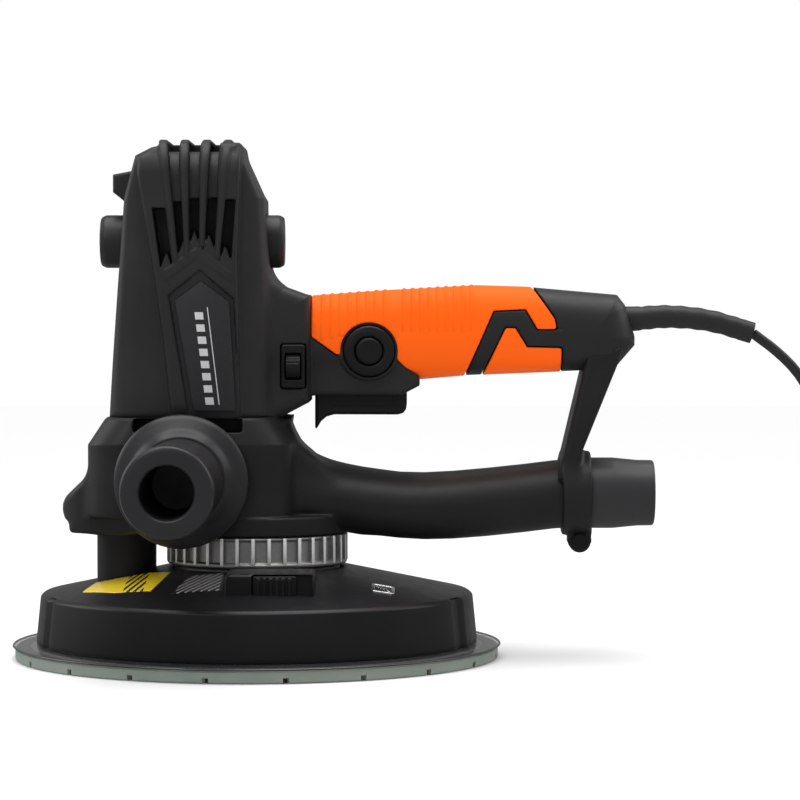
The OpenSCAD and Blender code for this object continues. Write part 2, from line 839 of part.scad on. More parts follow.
// Side outline of the handle, drawn in by a layer's thickness
module handle_outline(inset) {
  polygon([
    [20, z_handle + 16.9 - inset], [neck_end, z_handle + 16.9 - inset],
    [60, z_handle + 19.4 - inset], [107, z_handle + 22 - inset],
    [133, z_handle + 21.2 - inset], [handle_end - 8.6, z_handle + 17.4],
    [handle_end - 4.6, z_handle + 12.3], [handle_end, z_handle - 2.7],
    [handle_end, z_handle - 7.1], [handle_end - 10, z_handle - 18.7],
    [strut_foot, z_handle - 19.8 + inset], [102, z_handle - 21.7 + inset],
    [81, z_handle - 23.5 + inset], [20, z_handle - 23.5 + inset]
  ]);
}

module handle_solid(inset, x0, x1, y0 = -40, y1 = 40) {
  intersection() {
    side_cut(y0, y1) handle_outline(inset);
    end_cut(x0, x1) translate([0, z_handle])
      soft_rect(handle_w - 2 * inset, handle_h - 2 * inset, 15 - inset);
  }
}

// Block round the trigger's guide
bay_low_x = neck_end;
bay_high_x = 79;
bay_w = 34;
z_bay = z_handle - 29.2;

module shell_outer(y0, y1) {
  intersection() {
    side_cut(1.5 * y0, 1.5 * y1) motor_outline();
    rise(z_motor, z_top) body_plan(0);
  }
  side_cut(max(y0, -neck_w / 2), min(y1, neck_w / 2)) neck_outline();
  handle_solid(grip_t, 22, strut_foot + 6, y0, y1);
  difference() {
    handle_solid(0, 21, handle_end + 1, y0, y1);
    side_cut(-41, 41) grip_zone();
  }
  block([bay_low_x - 1, max(y0, -bay_w / 2), z_bay], [bay_high_x, min(y1, bay_w / 2), z_handle - 12]);
  side_cut(max(y0, -8), min(y1, 8)) polygon([
    [body_left + 2.2, z_top - 13.9], [body_left + 16, z_top - 10],
    [body_left + 16, z_top - 28], [body_left + 7.7, z_top - 28], [body_left + 2.2, z_top - 22.5]
  ]);
  for (k = [0:vent_ribs - 1]) vent_rib(motor_x - 15.6 + k * 10.4, y0, y1);
}

// One rib that wraps over the top of the motor
rib_w = 5;
rib_rise = 3;

module vent_rib(x, y0, y1) {
  end_cut(x - rib_w / 2, x + rib_w / 2) intersection() {
    difference() {
      translate([0, z_top - 20 + rib_rise / 2]) soft_rect(motor_w - 3, 40 + rib_rise, 16);
      translate([0, z_top - 30]) square([motor_w - 16, 50], center = true);
    }
    translate([y0, z_top - 50]) square([y1 - y0, 60]);
  }
}

// Side outline of the soft grip, with the band of hard shell that crosses it
module grip_zone() {
  difference() {
    polygon([
      [neck_end, z_handle + 25], [128, z_handle + 25], [145, z_handle + 5.8],
      [146, z_handle + 0.7], [strut_foot, z_handle + 0.7], [strut_foot, z_handle - 25],
      [bay_high_x, z_handle - 25], [67, z_handle - 12.5], [39.2, z_handle - 11.7],
      [neck_end, z_handle - 2.9]
    ]);
    polygon([
      [101.8, z_handle - 25], [101.8, z_handle - 21.3], [115.4, z_handle + 9.4],
      [130.7, z_handle + 10.2], [136.4, z_handle + 0.6], [strut_foot + 1, z_handle + 0.6],
      [strut_foot + 1, z_handle - 8.1], [131.6, z_handle - 7.7], [125.9, z_handle + 1.5],
      [121, z_handle + 1.5], [110.2, z_handle - 20.8], [110.2, z_handle - 25]
    ]);
  }
}

// Screws that hold the shell halves together, in X and Z
shell_screw_xz = [
  [motor_x - 22, z_top - 9.5], [motor_x + 21, z_top - 9.5], [10, z_handle + 8],
  [86, z_handle - 14], [142, z_handle + 11], [166, z_handle - 11]
];
shell_screw_r = 1.6;
shell_screw_end = 12;

shell_screw_head = 12;

module shell_room() {
  difference() {
    union() {
      bar_z(motor_x, 0, z_motor - 1, core_high + 12, stator_d / 2);
      bar_z(motor_x, 0, z_motor, z_cap_bearing - 3, stator_d / 2 - 4);
      block([5, -neck_w / 2 + 4, z_motor + 12], [neck_end, neck_w / 2 - 4, z_handle + 12]);
      handle_solid(grip_t + shell_wall, neck_end - 3, handle_end - 12);
      block([trigger_low_x - slide_gap, -trigger_w / 2 - slide_gap, z_bay - 1],
        [trigger_high_x + slide_gap, trigger_w / 2 + slide_gap, z_switch]);
    }
    for (p = shell_screw_xz) bar_y(p[0], -neck_w / 2, neck_w / 2, p[1], 3.6);
  }
  bar_z(motor_x, 0, z_cap_bearing, z_cap_bearing + motor_bearing_w, motor_bearing_d / 2);
  bar_z(motor_x, 0, z_cap_bearing - 4, z_cap_bearing + 1, shaft_d / 2 + 2);
}

module shell_cuts() {
  shell_room();
  for (k = [0:vent_ribs]) {
    x = motor_x - 20.8 + k * 10.4;
    side_cut(-60, 60) translate([x, z_motor + 100.5]) soft_rect(5.2, 27, 2.5);
  }
  bar_x(body_left - 10, motor_x - brush_end, 0, z_brush, brush_cap_d / 2);
  bar_x(motor_x + brush_end, body_right + 10, 0, z_brush, brush_cap_d / 2);
  for (x = housing_screw_xs, s = [-1, 1])
    bar_z(x, s * housing_screw_y, z_motor - 1, z_motor + 16, screw_r);
  bar_y(lock_x, -30, -handle_w / 2 + 9, z_lock, bezel_r);
  bar_y(lock_x, -30, flange_back + lock_travel + 1.3, z_lock, flange_r + 0.8);
  block([rocker_x - bezel_w / 2 + 1, -neck_w / 2 - 1, z_rocker - bezel_h / 2 + 1],
    [rocker_x + bezel_w / 2 - 1, -neck_w / 2 + 5, z_rocker + bezel_h / 2 - 1]);
  bar_x(handle_end - 16, handle_end + 1, 0, z_cord, relief_r);
  for (p = shell_screw_xz) {
    bar_y(p[0], -shell_screw_end, 60, p[1], shell_screw_r);
    bar_y(p[0], shell_screw_head, 60, p[1], 3);
  }
}

module shell_left() {
  color([0.07, 0.07, 0.08]) difference() {
    shell_outer(-40, 0);
    shell_cuts();
  }
}

module shell_right() {
  color([0.08, 0.08, 0.09]) difference() {
    shell_outer(0, 40);
    shell_cuts();
  }
}

module shell_screws() {
  color("gray") for (p = shell_screw_xz) {
    bar_y(p[0], -shell_screw_end, shell_screw_head, p[1], shell_screw_r);
    bar_y(p[0], shell_screw_head, shell_screw_head + 2, p[1], 2.9);
  }
}

module nameplate() {
  color("dimgray") side_cut(-motor_w / 2 - 1, -motor_w / 2) polygon([
    [motor_x + 4.2, z_motor + 64], [motor_x - 8.4, z_motor + 57], [motor_x + 0.5, z_motor + 3],
    [motor_x + 18, z_motor + 3], [motor_x + 16.3, z_motor + 56]
  ]);
}

module grip_half(y0, y1) {
  color([1, 0.33, 0.02]) intersection() {
    difference() {
      handle_solid(0, neck_end, strut_foot + 2);
      handle_solid(grip_t, neck_end - 1, strut_foot + 3);
      block([bay_low_x - 1, -bay_w / 2, z_bay], [bay_high_x, bay_w / 2, z_handle - 12]);
      bar_y(lock_x, -30, 0, z_lock, bezel_r);
    }
    side_cut(y0, y1) grip_zone();
  }
}

module grip_left() {
  grip_half(-40, 0);
}

module grip_right() {
  grip_half(0, 40);
}

// ---- controls ----

trigger_low_x = 28.6;
trigger_high_x = 73.4;
trigger_w = 21;
z_switch = z_handle - 16.5;
z_trigger = z_handle - 40.9;
z_trigger_top = z_switch - trigger_travel - 1.5;
spring_x = 62;
spring_r = 4;
z_spring = z_trigger + 9;

module trigger() {
  color([0.06, 0.06, 0.07]) difference() {
    side_cut(-trigger_w / 2, trigger_w / 2) polygon([
      [trigger_low_x, z_trigger_top], [trigger_low_x, z_trigger - 6.6],
      [trigger_low_x + 1, z_trigger - 6.6], [trigger_low_x + 4.5, z_trigger],
      [trigger_high_x - 4, z_trigger], [trigger_high_x - 1, z_trigger + 1.2],
      [trigger_high_x, z_trigger + 4], [trigger_high_x, z_trigger_top]
    ]);
    bar_z(spring_x, 0, z_spring, z_trigger_top + 1, spring_r + 0.6);
    block([trigger_low_x + 4, -trigger_w / 2 + 3, z_trigger + 6],
      [spring_x - 8, trigger_w / 2 - 3, z_trigger_top + 1]);
  }
}

module trigger_spring() {
  color("silver") tube_z(spring_x, 0, z_spring, z_switch, spring_r, spring_r - 1);
}

module switch_body() {
  color([0.2, 0.2, 0.22])
    block([36, -8, z_switch], [72, 8, z_switch + 20]);
}

lock_x = 55;
z_lock = z_handle - 9.8;
bezel_r = 12.3;
bezel_face = -handle_w / 2 - 1.4;
bezel_back = -handle_w / 2 + 6;
flange_back = bezel_back + 1.7;
flange_r = lock_d / 2 + 1.6;

module lock_bezel() {
  color([0.06, 0.06, 0.07]) difference() {
    bar_y(lock_x, bezel_face, bezel_back, z_lock, bezel_r);
    bar_y(lock_x, bezel_face - 1, bezel_back + 1, z_lock, lock_d / 2 + slide_gap);
  }
}

module lock_button() {
  color([0.1, 0.1, 0.11]) {
    bar_y(lock_x, bezel_face - 1.6, bezel_back + 1, z_lock, lock_d / 2);
    bar_y(lock_x, bezel_back + 0.2, flange_back, z_lock, flange_r);
  }
}

rocker_x = 18.5;
z_rocker = z_handle - 17.1;
bezel_w = 11.8;
bezel_h = 21.4;
rocker_w = 7;
rocker_r = 6;
rocker_y = -neck_w / 2 + 2;

module rocker_bezel() {
  color([0.05, 0.05, 0.06]) difference() {
    union() {
      block([rocker_x - bezel_w / 2, -neck_w / 2 - 1.5, z_rocker - bezel_h / 2],
        [rocker_x + bezel_w / 2, -neck_w / 2, z_rocker + bezel_h / 2]);
      block([rocker_x - bezel_w / 2 + 1, -neck_w / 2 - 1, z_rocker - bezel_h / 2 + 1],
        [rocker_x + bezel_w / 2 - 1, -neck_w / 2 + 10, z_rocker + bezel_h / 2 - 1]);
    }
    block([rocker_x - rocker_w / 2 - slide_gap, -neck_w / 2 - 2, z_rocker - rocker_r - slide_gap],
      [rocker_x + rocker_w / 2 + slide_gap, -neck_w / 2 + 9, z_rocker + rocker_r + slide_gap]);
  }
}

module rocker() {
  color([0.12, 0.12, 0.13]) intersection() {
    bar_x(rocker_x - rocker_w / 2, rocker_x + rocker_w / 2, rocker_y, z_rocker, rocker_r);
    block([rocker_x - 10, rocker_y - 5, z_rocker - 10], [rocker_x + 10, rocker_y + 5, z_rocker + 10]);
  }
}

module control_module() {
  color("darkolivegreen") block([92, -11, z_handle - 12], [134, 11, z_handle + 10]);
}

// ---- side handle ----

guard_t = 5;
side_start = -boss_face;

// Half outline of the side handle, as distance from its housing end and radius
function neck_radius(t) = 16 + 3.5 * pow(2 * t - 1, 2);
side_profile = concat(
  [[0, 0], [0, guard_d / 2 - 1.5], [1.5, guard_d / 2], [guard_t - 1.5, guard_d / 2],
   [guard_t, guard_d / 2 - 1.5], [guard_t + 5, 23]],
  [for (i = [0:8]) [guard_t + 9 + (side_len - guard_t - 24) * i / 8, neck_radius(i / 8)]],
  [[side_len - 9, 20.4], [side_len - 4, 21], [side_len - 1, 20.4], [side_len, 19], [side_len, 0]]
);

module side_handle() {
  bore_r = 12.2;
  color([0.06, 0.06, 0.07]) translate([side_x, side_start, z_side]) rotate([90, 0, 0])
    difference() {
      rotate_extrude() polygon([for (p = side_profile) [p[1], p[0]]]);
      translate([0, 0, 30]) cylinder(r = bore_r, h = side_len);
      translate([0, 0, -1]) cylinder(r = stud_d / 2, h = 26);
    }
}

module side_handle_stud() {
  color("silver") bar_y(side_x, side_start - 24, -stud_in - 1, z_side, stud_d / 2);
}

// ---- dust duct, strut and hose port ----

collar_low_x = 149;
collar_mid = 160;
collar_high_x = 163.2;
collar_r = 20.6;
collar_bore = 18.1;

// Stations along the duct: X, middle height above the deck, half height, half width
duct_stations = [
  [duct_start, 17.8, 17.6, 22], [51, 16.2, 16.9, 21.4], [60, 14.4, 16.3, 20.6],
  [70, 13.2, 16.2, 19.9], [82, 12.7, 16.4, 19.3], [96, 13.2, 16.6, 18.7],
  [112, 14.5, 16.7, 18], [130, 16.4, 16.7, 17.4], [strut_foot - 3, 18.3, 16.7, 17],
  [strut_foot, 18.9, 16.7, 16.9], [collar_mid, 19, 16.7, 16.7]
];
duct_sides = 24;

function squircle(a, p) = [sign(cos(a)) * pow(abs(cos(a)), p), sign(sin(a)) * pow(abs(sin(a)), p)];
function duct_ring(s, wall) = [
  for (k = [0:duct_sides - 1]) let (q = squircle(-360 * k / duct_sides, 0.86))
    [s[0], (s[3] - wall) * q[0], z_deck + s[1] + (s[2] - wall) * q[1]]
];

module duct_tube() {
  color([0.07, 0.07, 0.08]) loft_tube(
    [for (s = duct_stations) duct_ring(s, 0)],
    [for (s = duct_stations) duct_ring(s, duct_wall)]
  );
}

tab_x = 157.8;
z_tab = z_deck - 4.6;
tab_r = 5.4;
strut_w = 36;
strut_gap = 0.18;

// Height of the strut's top, just under the sloping underside of the handle's end
function strut_z(x) =
  z_handle - 19.8 + 1.1 * (x - strut_foot) / (handle_end - 10 - strut_foot) - strut_gap;

module handle_strut() {
  color([0.07, 0.07, 0.08]) difference() {
    union() {
      side_cut(-strut_w / 2, strut_w / 2) polygon([
        [160, strut_z(160)], [146.4, z_port + 8], [155, z_port + 8],
        [159, z_port + 21.9], [handle_end - 10.6, strut_z(handle_end - 10.6)]
      ]);
      bar_x(collar_low_x, collar_high_x, 0, z_port, collar_r);
      side_cut(-7, 7) {
        translate([tab_x, z_tab]) circle(tab_r);
        translate([tab_x - tab_r, z_tab]) square([2 * tab_r, 9]);
      }
    }
    bar_x(140, collar_high_x + 1, 0, z_port, collar_bore);
    bar_y(tab_x, -8, 8, z_tab, 2.1);
  }
}

module collar_screw() {
  color("silver") {
    bar_y(tab_x, -7, 7, z_tab, 2.1);
    bar_y(tab_x, -9.5, -7, z_tab, 3.8);
    bar_y(tab_x, 7, 9.5, z_tab, 3.8);
  }
}

module hose_port() {
  root_r = 17.25;
  end_x = collar_high_x + port_len;
  bore = port_d / 2 - port_wall;
  color([0.08, 0.08, 0.09]) translate([0, 0, z_port]) rotate([0, 90, 0])
    rotate_extrude() polygon([
      [bore, collar_mid], [root_r, collar_mid], [root_r, collar_high_x + 12],
      [port_d / 2, end_x - 8], [port_d / 2, end_x - 1], [port_d / 2 - 1, end_x],
      [bore, end_x]
    ]);
}

// ---- cord ----

z_cord = z_handle + 5.8;
relief_r = 6.5;
relief_end_r = 5.4;
relief_route = [
  [handle_end - 12, 0, z_cord], [handle_end, 0, z_cord], [handle_end + 17, 0, z_cord + 1],
  [handle_end + 37, 0, z_cord - 1], [handle_end + 58, 0, z_cord - 7]
];

// Points that the cord passes through, from the strain relief to the floor
cord_route = [
  [243, 0, 158], [255, 2, 149], [266, 6, 138], [276, 15, 122], [284, 27, 102],
  [290, 38, 78], [295, 45, 52], [301, 49, 29], [310, 51, 12], [321, 52, 5], [334, 52, 3.5],
  [352, 52, 3.5]
];

module strain_relief() {
  path = refine(relief_route, 3);
  last = len(path) - 1;
  color([0.06, 0.06, 0.07]) loft([for (i = [0:last])
    ring_at(path[i], heading(path, i), relief_r - loose_gap - (relief_r - relief_end_r) * i / last, 12)]);
}

module cord() {
  path = refine(cord_route, 3);
  color([0.05, 0.05, 0.05])
    loft([for (i = [0:len(path) - 1]) ring_at(path[i], heading(path, i), cord_d / 2, 8)]);
}

// Turns of the coil: wraps side by side and layers on each other
route_end = cord_route[len(cord_route) - 1];
coil_wraps = 4;
coil_layers = 4;
coil_mid_r = 28.5;
coil_lift = 1;
coil_out_r = coil_mid_r + coil_wraps * cord_d / 2;
coil_in_r = coil_mid_r - coil_wraps * cord_d / 2;
coil_h = coil_layers * cord_d;
coil_x = route_end[0];
coil_y = route_end[1] + coil_out_r - cord_d / 2;

module cord_coil() {
  color([0.05, 0.05, 0.05])
    tube_z(coil_x, coil_y, coil_lift, coil_lift + coil_h, coil_out_r, coil_in_r);
}

z_plug = coil_lift + coil_h - cord_d / 2;
plug_start = coil_x + coil_out_r - 16.5;
plug_boot = 24;
plug_body = 34;
plug_r = z_plug;
pin_d = 4.8;
pin_len = 19;
pin_gap = 19;

module plug() {
  body_x = plug_start + plug_boot;
  color([0.05, 0.05, 0.05]) translate([0, route_end[1], 0]) {
    translate([0, 0, z_plug]) rotate([0, 90, 0]) rotate_extrude() polygon([
      [0, plug_start], [cord_d / 2 + 1, plug_start], [cord_d / 2 + 2.6, body_x],
      [plug_r - 4, body_x + 5], [plug_r, body_x + 14], [plug_r, body_x + plug_body], [0, body_x + plug_body]
    ]);
    for (s = [-1, 1])
      bar_x(body_x + plug_body - 1, body_x + plug_body + pin_len, s * pin_gap / 2, z_plug, pin_d / 2);
  }
}

abrasive_disc();
pad_foam();
pad_plate();
pad_bolt();
spindle();
gear_key();
spindle_circlip();
drive_gear();
spindle_bearings();
gear_case();
gear_case_screws();
cover_screws();
head_cover();
skirt_flange();
light_ring();
led_strip();
suction_slider();
suction_pipe();
warning_label();
info_label();
badge();
lower_housing();
housing_screws();
motor_bearings();
armature_shaft();
pinion();
fan();
fan_baffle();
armature_core();
armature_windings();
commutator();
stator();
field_windings();
carbon_brushes();
brush_holders();
brush_caps();
shell_left();
shell_right();
shell_screws();
nameplate();
grip_left();
grip_right();
trigger();
trigger_spring();
switch_body();
lock_button();
lock_bezel();
rocker();
rocker_bezel();
control_module();
side_handle();
side_handle_stud();
duct_tube();
handle_strut();
collar_screw();
hose_port();
strain_relief();
cord();
cord_coil();
plug();
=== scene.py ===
# Hand-held surface sander: the looks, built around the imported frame.
import math

import bmesh
import bpy
import numpy as np
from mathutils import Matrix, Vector


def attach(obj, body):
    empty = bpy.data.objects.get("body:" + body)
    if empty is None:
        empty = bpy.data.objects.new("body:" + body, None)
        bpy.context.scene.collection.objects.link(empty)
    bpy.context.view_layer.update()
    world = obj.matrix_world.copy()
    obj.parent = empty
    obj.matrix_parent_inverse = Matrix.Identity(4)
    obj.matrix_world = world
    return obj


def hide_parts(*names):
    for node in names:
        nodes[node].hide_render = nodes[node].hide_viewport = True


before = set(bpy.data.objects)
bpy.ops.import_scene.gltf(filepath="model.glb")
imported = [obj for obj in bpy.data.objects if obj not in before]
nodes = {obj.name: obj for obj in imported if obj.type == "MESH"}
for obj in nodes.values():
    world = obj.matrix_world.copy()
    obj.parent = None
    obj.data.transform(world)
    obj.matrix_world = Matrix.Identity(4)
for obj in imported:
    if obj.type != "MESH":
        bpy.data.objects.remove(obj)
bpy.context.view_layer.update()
mm = 0.001
scene = bpy.context.scene

camera = {
    "place": (70, -1500, 168.6),  # mm
    "lens": 137.8,
    "pitch": 1.647,  # degrees below the horizon
}


def makeCamera():
    data = bpy.data.cameras.new("camera")
    data.lens = camera["lens"]
    data.clip_end = 50
    eye = bpy.data.objects.new("camera", data)
    eye.location = Vector(camera["place"]) * mm
    eye.rotation_euler = (math.radians(90 - camera["pitch"]), 0, 0)
    scene.collection.objects.link(eye)
    scene.camera = eye


makeCamera()
print("camera placed")


class Wire:  # a shader socket that can be used in arithmetic
    def __init__(self, tree, socket):
        self.tree = tree
        self.socket = socket

    def maths(self, operation, *values):
        return self.node("Math", {"operation": operation}, dict(enumerate(values)))

    def node(self, kind, settings=None, sockets=None, out=0):
        made = self.tree.nodes.new("ShaderNode" + kind)
        for key, value in (settings or {}).items():
            if key == "stops":
                setStops(made.color_ramp, value)
            else:
                setattr(made, key, value)
        for key, value in (sockets or {}).items():
            if isinstance(value, Wire):
                self.tree.links.new(value.socket, made.inputs[key])
            else:
                made.inputs[key].default_value = value
        return Wire(self.tree, made.outputs[out])

    def __add__(self, other):
        return self.maths("ADD", self, other)

    def __radd__(self, other):
        return self.maths("ADD", other, self)

    def __sub__(self, other):
        return self.maths("SUBTRACT", self, other)

    def __rsub__(self, other):
        return self.maths("SUBTRACT", other, self)

    def __mul__(self, other):
        return self.maths("MULTIPLY", self, other)

    def __rmul__(self, other):
        return self.maths("MULTIPLY", other, self)

    def __gt__(self, other):
        return self.maths("GREATER_THAN", self, other)

    def __lt__(self, other):
        return self.maths("LESS_THAN", self, other)


def setStops(ramp, stops):
    while len(ramp.elements) < len(stops):
        ramp.elements.new(0.5)
    for element, (place, colour) in zip(ramp.elements, stops):
        element.position = place
        element.color = (*colour, 1) if len(colour) == 3 else colour


class Finish:
    def __init__(self, name, colour, roughness, metallic=0.0, **fixed):
        self.material = bpy.data.materials.new(name)
        self.material.use_nodes = True
        self.tree = self.material.node_tree
        self.shader = self.tree.nodes["Principled BSDF"]
        self.start = Wire(self.tree, None)
        self.fix("Base Color", (*colour, 1))
        self.fix("Roughness", roughness)
        self.fix("Metallic", metallic)
        for key, value in fixed.items():
            self.fix(key.replace("_", " "), value)
        self.place = self.start.node("TexCoord", out=3)  # Object coordinates

    def fix(self, socket, value):
        self.shader.inputs[socket].default_value = value

    def link(self, socket, wire):
        self.tree.links.new(wire.socket, self.shader.inputs[socket])

    def noise(self, scale, detail=3.0, roughness=0.5, place=None):
        return self.start.node("TexNoise", None, {
            "Vector": place or self.place, "Scale": scale, "Detail": detail, "Roughness": roughness})

    def parts(self, place=None):
        split = self.tree.nodes.new("ShaderNodeSeparateXYZ")
        self.tree.links.new((place or self.place).socket, split.inputs[0])
        return [Wire(self.tree, socket) for socket in split.outputs]

    def radius(self):
        across = self.start.node("Mapping", None, {"Vector": self.place, "Scale": (1.0, 1.0, 0.0)})
        return self.start.node("VectorMath", {"operation": "LENGTH"}, {0: across}, out=1)

    def mix(self, factor, first, second):
        return self.start.node("MixRGB", None, {
            "Fac": factor,
            "Color1": first if isinstance(first, Wire) else (*first, 1),
            "Color2": second if isinstance(second, Wire) else (*second, 1)})

    def ramp(self, value, stops):
        return self.start.node("ValToRGB", {"stops": stops}, {"Fac": value})

    def bump(self, height, strength, distance=0.0002, normal=None):
        sockets = {"Height": height, "Strength": strength, "Distance": distance}
        if normal:
            sockets["Normal"] = normal
        return self.start.node("Bump", None, sockets)


def grained(name, colour, roughness, grain=1500.0, depth=0.35, wear=0.25, shine=0.2):
    # Moulded plastic or rubber: spark grain, slow tone change and dusty, rubbed patches.
    finish = Finish(name, colour, roughness, Specular_IOR_Level=shine)
    slow = finish.noise(28.0, 4.0)
    pale = tuple(min(1.0, c * 1.5 + 0.006) for c in colour)
    rubbed = finish.ramp(slow, [(0.42, (0, 0, 0)), (0.75, (wear, wear, wear))])
    finish.link("Base Color", finish.mix(rubbed, colour, pale))
    patch = finish.noise(160.0, 5.0)
    finish.link("Roughness", roughness - 0.08 + 0.16 * patch)
    fine = finish.noise(grain, 2.0)
    finish.link("Normal", finish.bump(fine, depth, 0.00012))
    return finish


def brushed(name, colour, roughness, scale=(900.0, 900.0, 40.0), depth=0.25):
    # Turned or ground metal with fine tool marks along one direction.
    finish = Finish(name, colour, roughness, 1.0)
    turned = finish.start.node("Mapping", None, {"Vector": finish.place, "Scale": scale})
    marks = finish.noise(1.0, 4.0, 0.6, turned)
    finish.link("Roughness", roughness - 0.06 + 0.14 * marks)
    tone = finish.noise(60.0, 3.0)
    finish.link("Base Color", finish.mix(tone, colour, tuple(c * 0.8 for c in colour)))
    finish.link("Normal", finish.bump(marks, depth, 0.00006))
    return finish


def castAluminium():
    # Gear case: blasted grey flats, with the fin tips turned bright.
    sizes = {"tipRadius": 0.0441, "flat": (0.33, 0.33, 0.325), "tip": (0.86, 0.86, 0.85)}
    finish = Finish("castAluminium", sizes["flat"], 0.42, 1.0)
    tip = finish.radius() > sizes["tipRadius"]
    grain = finish.noise(900.0, 3.0)
    flat = finish.mix(grain, sizes["flat"], tuple(c * 1.5 for c in sizes["flat"]))
    finish.link("Base Color", finish.mix(tip, flat, sizes["tip"]))
    finish.link("Roughness", 0.46 - 0.2 * tip + 0.06 * grain)
    finish.link("Metallic", 1 - 0.65 * tip)
    finish.link("Normal", finish.bump(grain, 0.3, 0.00015))
    return finish


def stripedLabel(name, ground, mark, pitch, share, low, high, turn):
    # Plain sticker with slanting bars inside a band of X.
    finish = Finish(name, ground, 0.32, Coat_Weight=0.3)
    turned = finish.start.node("Mapping", None, {"Vector": finish.place, "Rotation": (0, 0, turn)})
    wave = finish.start.maths("FRACT", finish.parts(turned)[0] * (1 / pitch))
    realX = finish.parts()[0]
    inside = (realX > low) * (realX < high) * (wave < share)
    speckle = finish.noise(700.0, 2.0)
    paper = finish.mix(speckle, ground, tuple(c * 0.9 for c in ground))
    finish.link("Base Color", finish.mix(inside, paper, mark))
    finish.link("Roughness", 0.28 + 0.1 * speckle)
    return finish


def abrasivePaper():
    # Resin-bonded grit in small cells.
    finish = Finish("abrasivePaper", (0.36, 0.2, 0.12), 0.9)
    cells = finish.start.node("TexVoronoi", None, {"Vector": finish.place, "Scale": 1400.0})
    finish.link("Base Color", finish.ramp(cells, [(0.1, (0.5, 0.3, 0.2)), (0.6, (0.22, 0.12, 0.07))]))
    finish.link("Normal", finish.bump(cells, 0.8, 0.0003))
    return finish


def windingWire(name, colour, waves=4200.0):
    # Wound wire or bars: fine lines round the Z axis, at waves radians for each metre of height.
    finish = Finish(name, colour, 0.35, 0.7)
    lines = finish.start.maths("SINE", finish.parts()[2] * waves)
    finish.link("Base Color", finish.mix(0.5 + 0.5 * lines, colour, tuple(c * 0.5 for c in colour)))
    finish.link("Normal", finish.bump(lines, 0.6, 0.0002))
    return finish


finishes = {
    "shell": grained("shellPlastic", (0.0165, 0.0165, 0.0175), 0.5, 1700.0, 0.3, 0.3, 0.24),
    "housing": grained("housingPlastic", (0.011, 0.011, 0.012), 0.46, 1500.0, 0.3, 0.3, 0.24),
    "cover": grained("coverPlastic", (0.0065, 0.0065, 0.0075), 0.38, 1300.0, 0.16),
    "control": grained("controlPlastic", (0.0075, 0.0075, 0.0085), 0.4, 1500.0, 0.2),
    "cap": grained("capPlastic", (0.019, 0.019, 0.02), 0.42, 1300.0, 0.2, shine=0.25),
    "side": grained("sideHandlePlastic", (0.016, 0.016, 0.0175), 0.36, 1500.0, 0.2, shine=0.3),
    "port": grained("portPlastic", (0.024, 0.024, 0.026), 0.44, 1300.0, 0.2, shine=0.35),
    "grip": grained("gripOrange", (1.0, 0.122, 0.004), 0.6, 1900.0, 0.3, 0.05, 0.1),
    "cord": grained("cordSheath", (0.02, 0.02, 0.021), 0.45, 900.0, 0.2),
    "plug": grained("plugPlastic", (0.022, 0.022, 0.023), 0.42, 1200.0, 0.2),
    "foam": grained("padFoam", (0.05, 0.05, 0.055), 0.85, 700.0, 0.8),
    "fan": grained("fanPlastic", (0.06, 0.06, 0.065), 0.5, 1200.0, 0.3),
    "carbon": grained("carbonBlock", (0.03, 0.03, 0.03), 0.6, 1200.0, 0.4),
    "board": grained("pottedBoard", (0.05, 0.2, 0.1), 0.4, 900.0, 0.2),
    "strip": grained("ledStrip", (0.8, 0.8, 0.74), 0.4, 900.0, 0.1),
    "case": castAluminium(),
    "steel": brushed("turnedSteel", (0.55, 0.55, 0.57), 0.3),
    "blackScrew": brushed("blackScrew", (0.035, 0.035, 0.037), 0.42),
    "screw": brushed("zincScrew", (0.45, 0.45, 0.47), 0.34),
    "bearing": brushed("bearingSteel", (0.7, 0.7, 0.72), 0.2),
    "core": brushed("laminatedSteel", (0.34, 0.34, 0.36), 0.45, (40.0, 40.0, 2500.0), 0.5),
    "brass": brushed("foldedBrass", (0.72, 0.53, 0.24), 0.32),
    "chrome": brushed("brightBadge", (0.78, 0.78, 0.8), 0.14, (300.0, 300.0, 300.0), 0.05),
    "winding": windingWire("windingWire", (0.5, 0.2, 0.08)),
    "commutator": windingWire("commutatorCopper", (0.7, 0.36, 0.2)),
    "abrasive": abrasivePaper(),
}


def clearSheet():
    # Smoked clear sheet of the skirt: glossy, faintly tinted, hazed by dust. Its rim is painted near-black
    # and opaque: painted shade that stands in for the black cover seen through the clear edge.
    paintedDarkRimRadius = 0.1184
    finish = Finish("smokedSheet", (0.06, 0.06, 0.068), 0.07, Coat_Weight=0.4)
    # Mask of the outer rim, where painted shade makes the clear sheet near-black and opaque
    edge = finish.radius() > paintedDarkRimRadius
    haze = finish.noise(90.0, 4.0)
    finish.link("Roughness", 0.05 + 0.08 * haze + 0.3 * edge)
    sheet = finish.mix(haze, (0.045, 0.045, 0.055), (0.09, 0.09, 0.095))
    # Painted shade: the rim gets a near-black colour for the black cover seen through the clear edge
    finish.link("Base Color", finish.mix(edge, sheet, (0.008, 0.008, 0.009)))
    finish.link("Alpha", 0.5 + 0.5 * edge)
    return finish


def lightGuide():
    # Milky grey-green light ring.
    finish = Finish("lightGuide", (0.23, 0.27, 0.24), 0.34, Subsurface_Weight=0.35, Subsurface_Scale=0.004)
    cloud = finish.noise(60.0, 3.0)
    finish.link("Base Color", finish.mix(cloud, (0.2, 0.238, 0.208), (0.26, 0.3, 0.265)))
    finish.link("Roughness", 0.28 + 0.12 * cloud)
    return finish


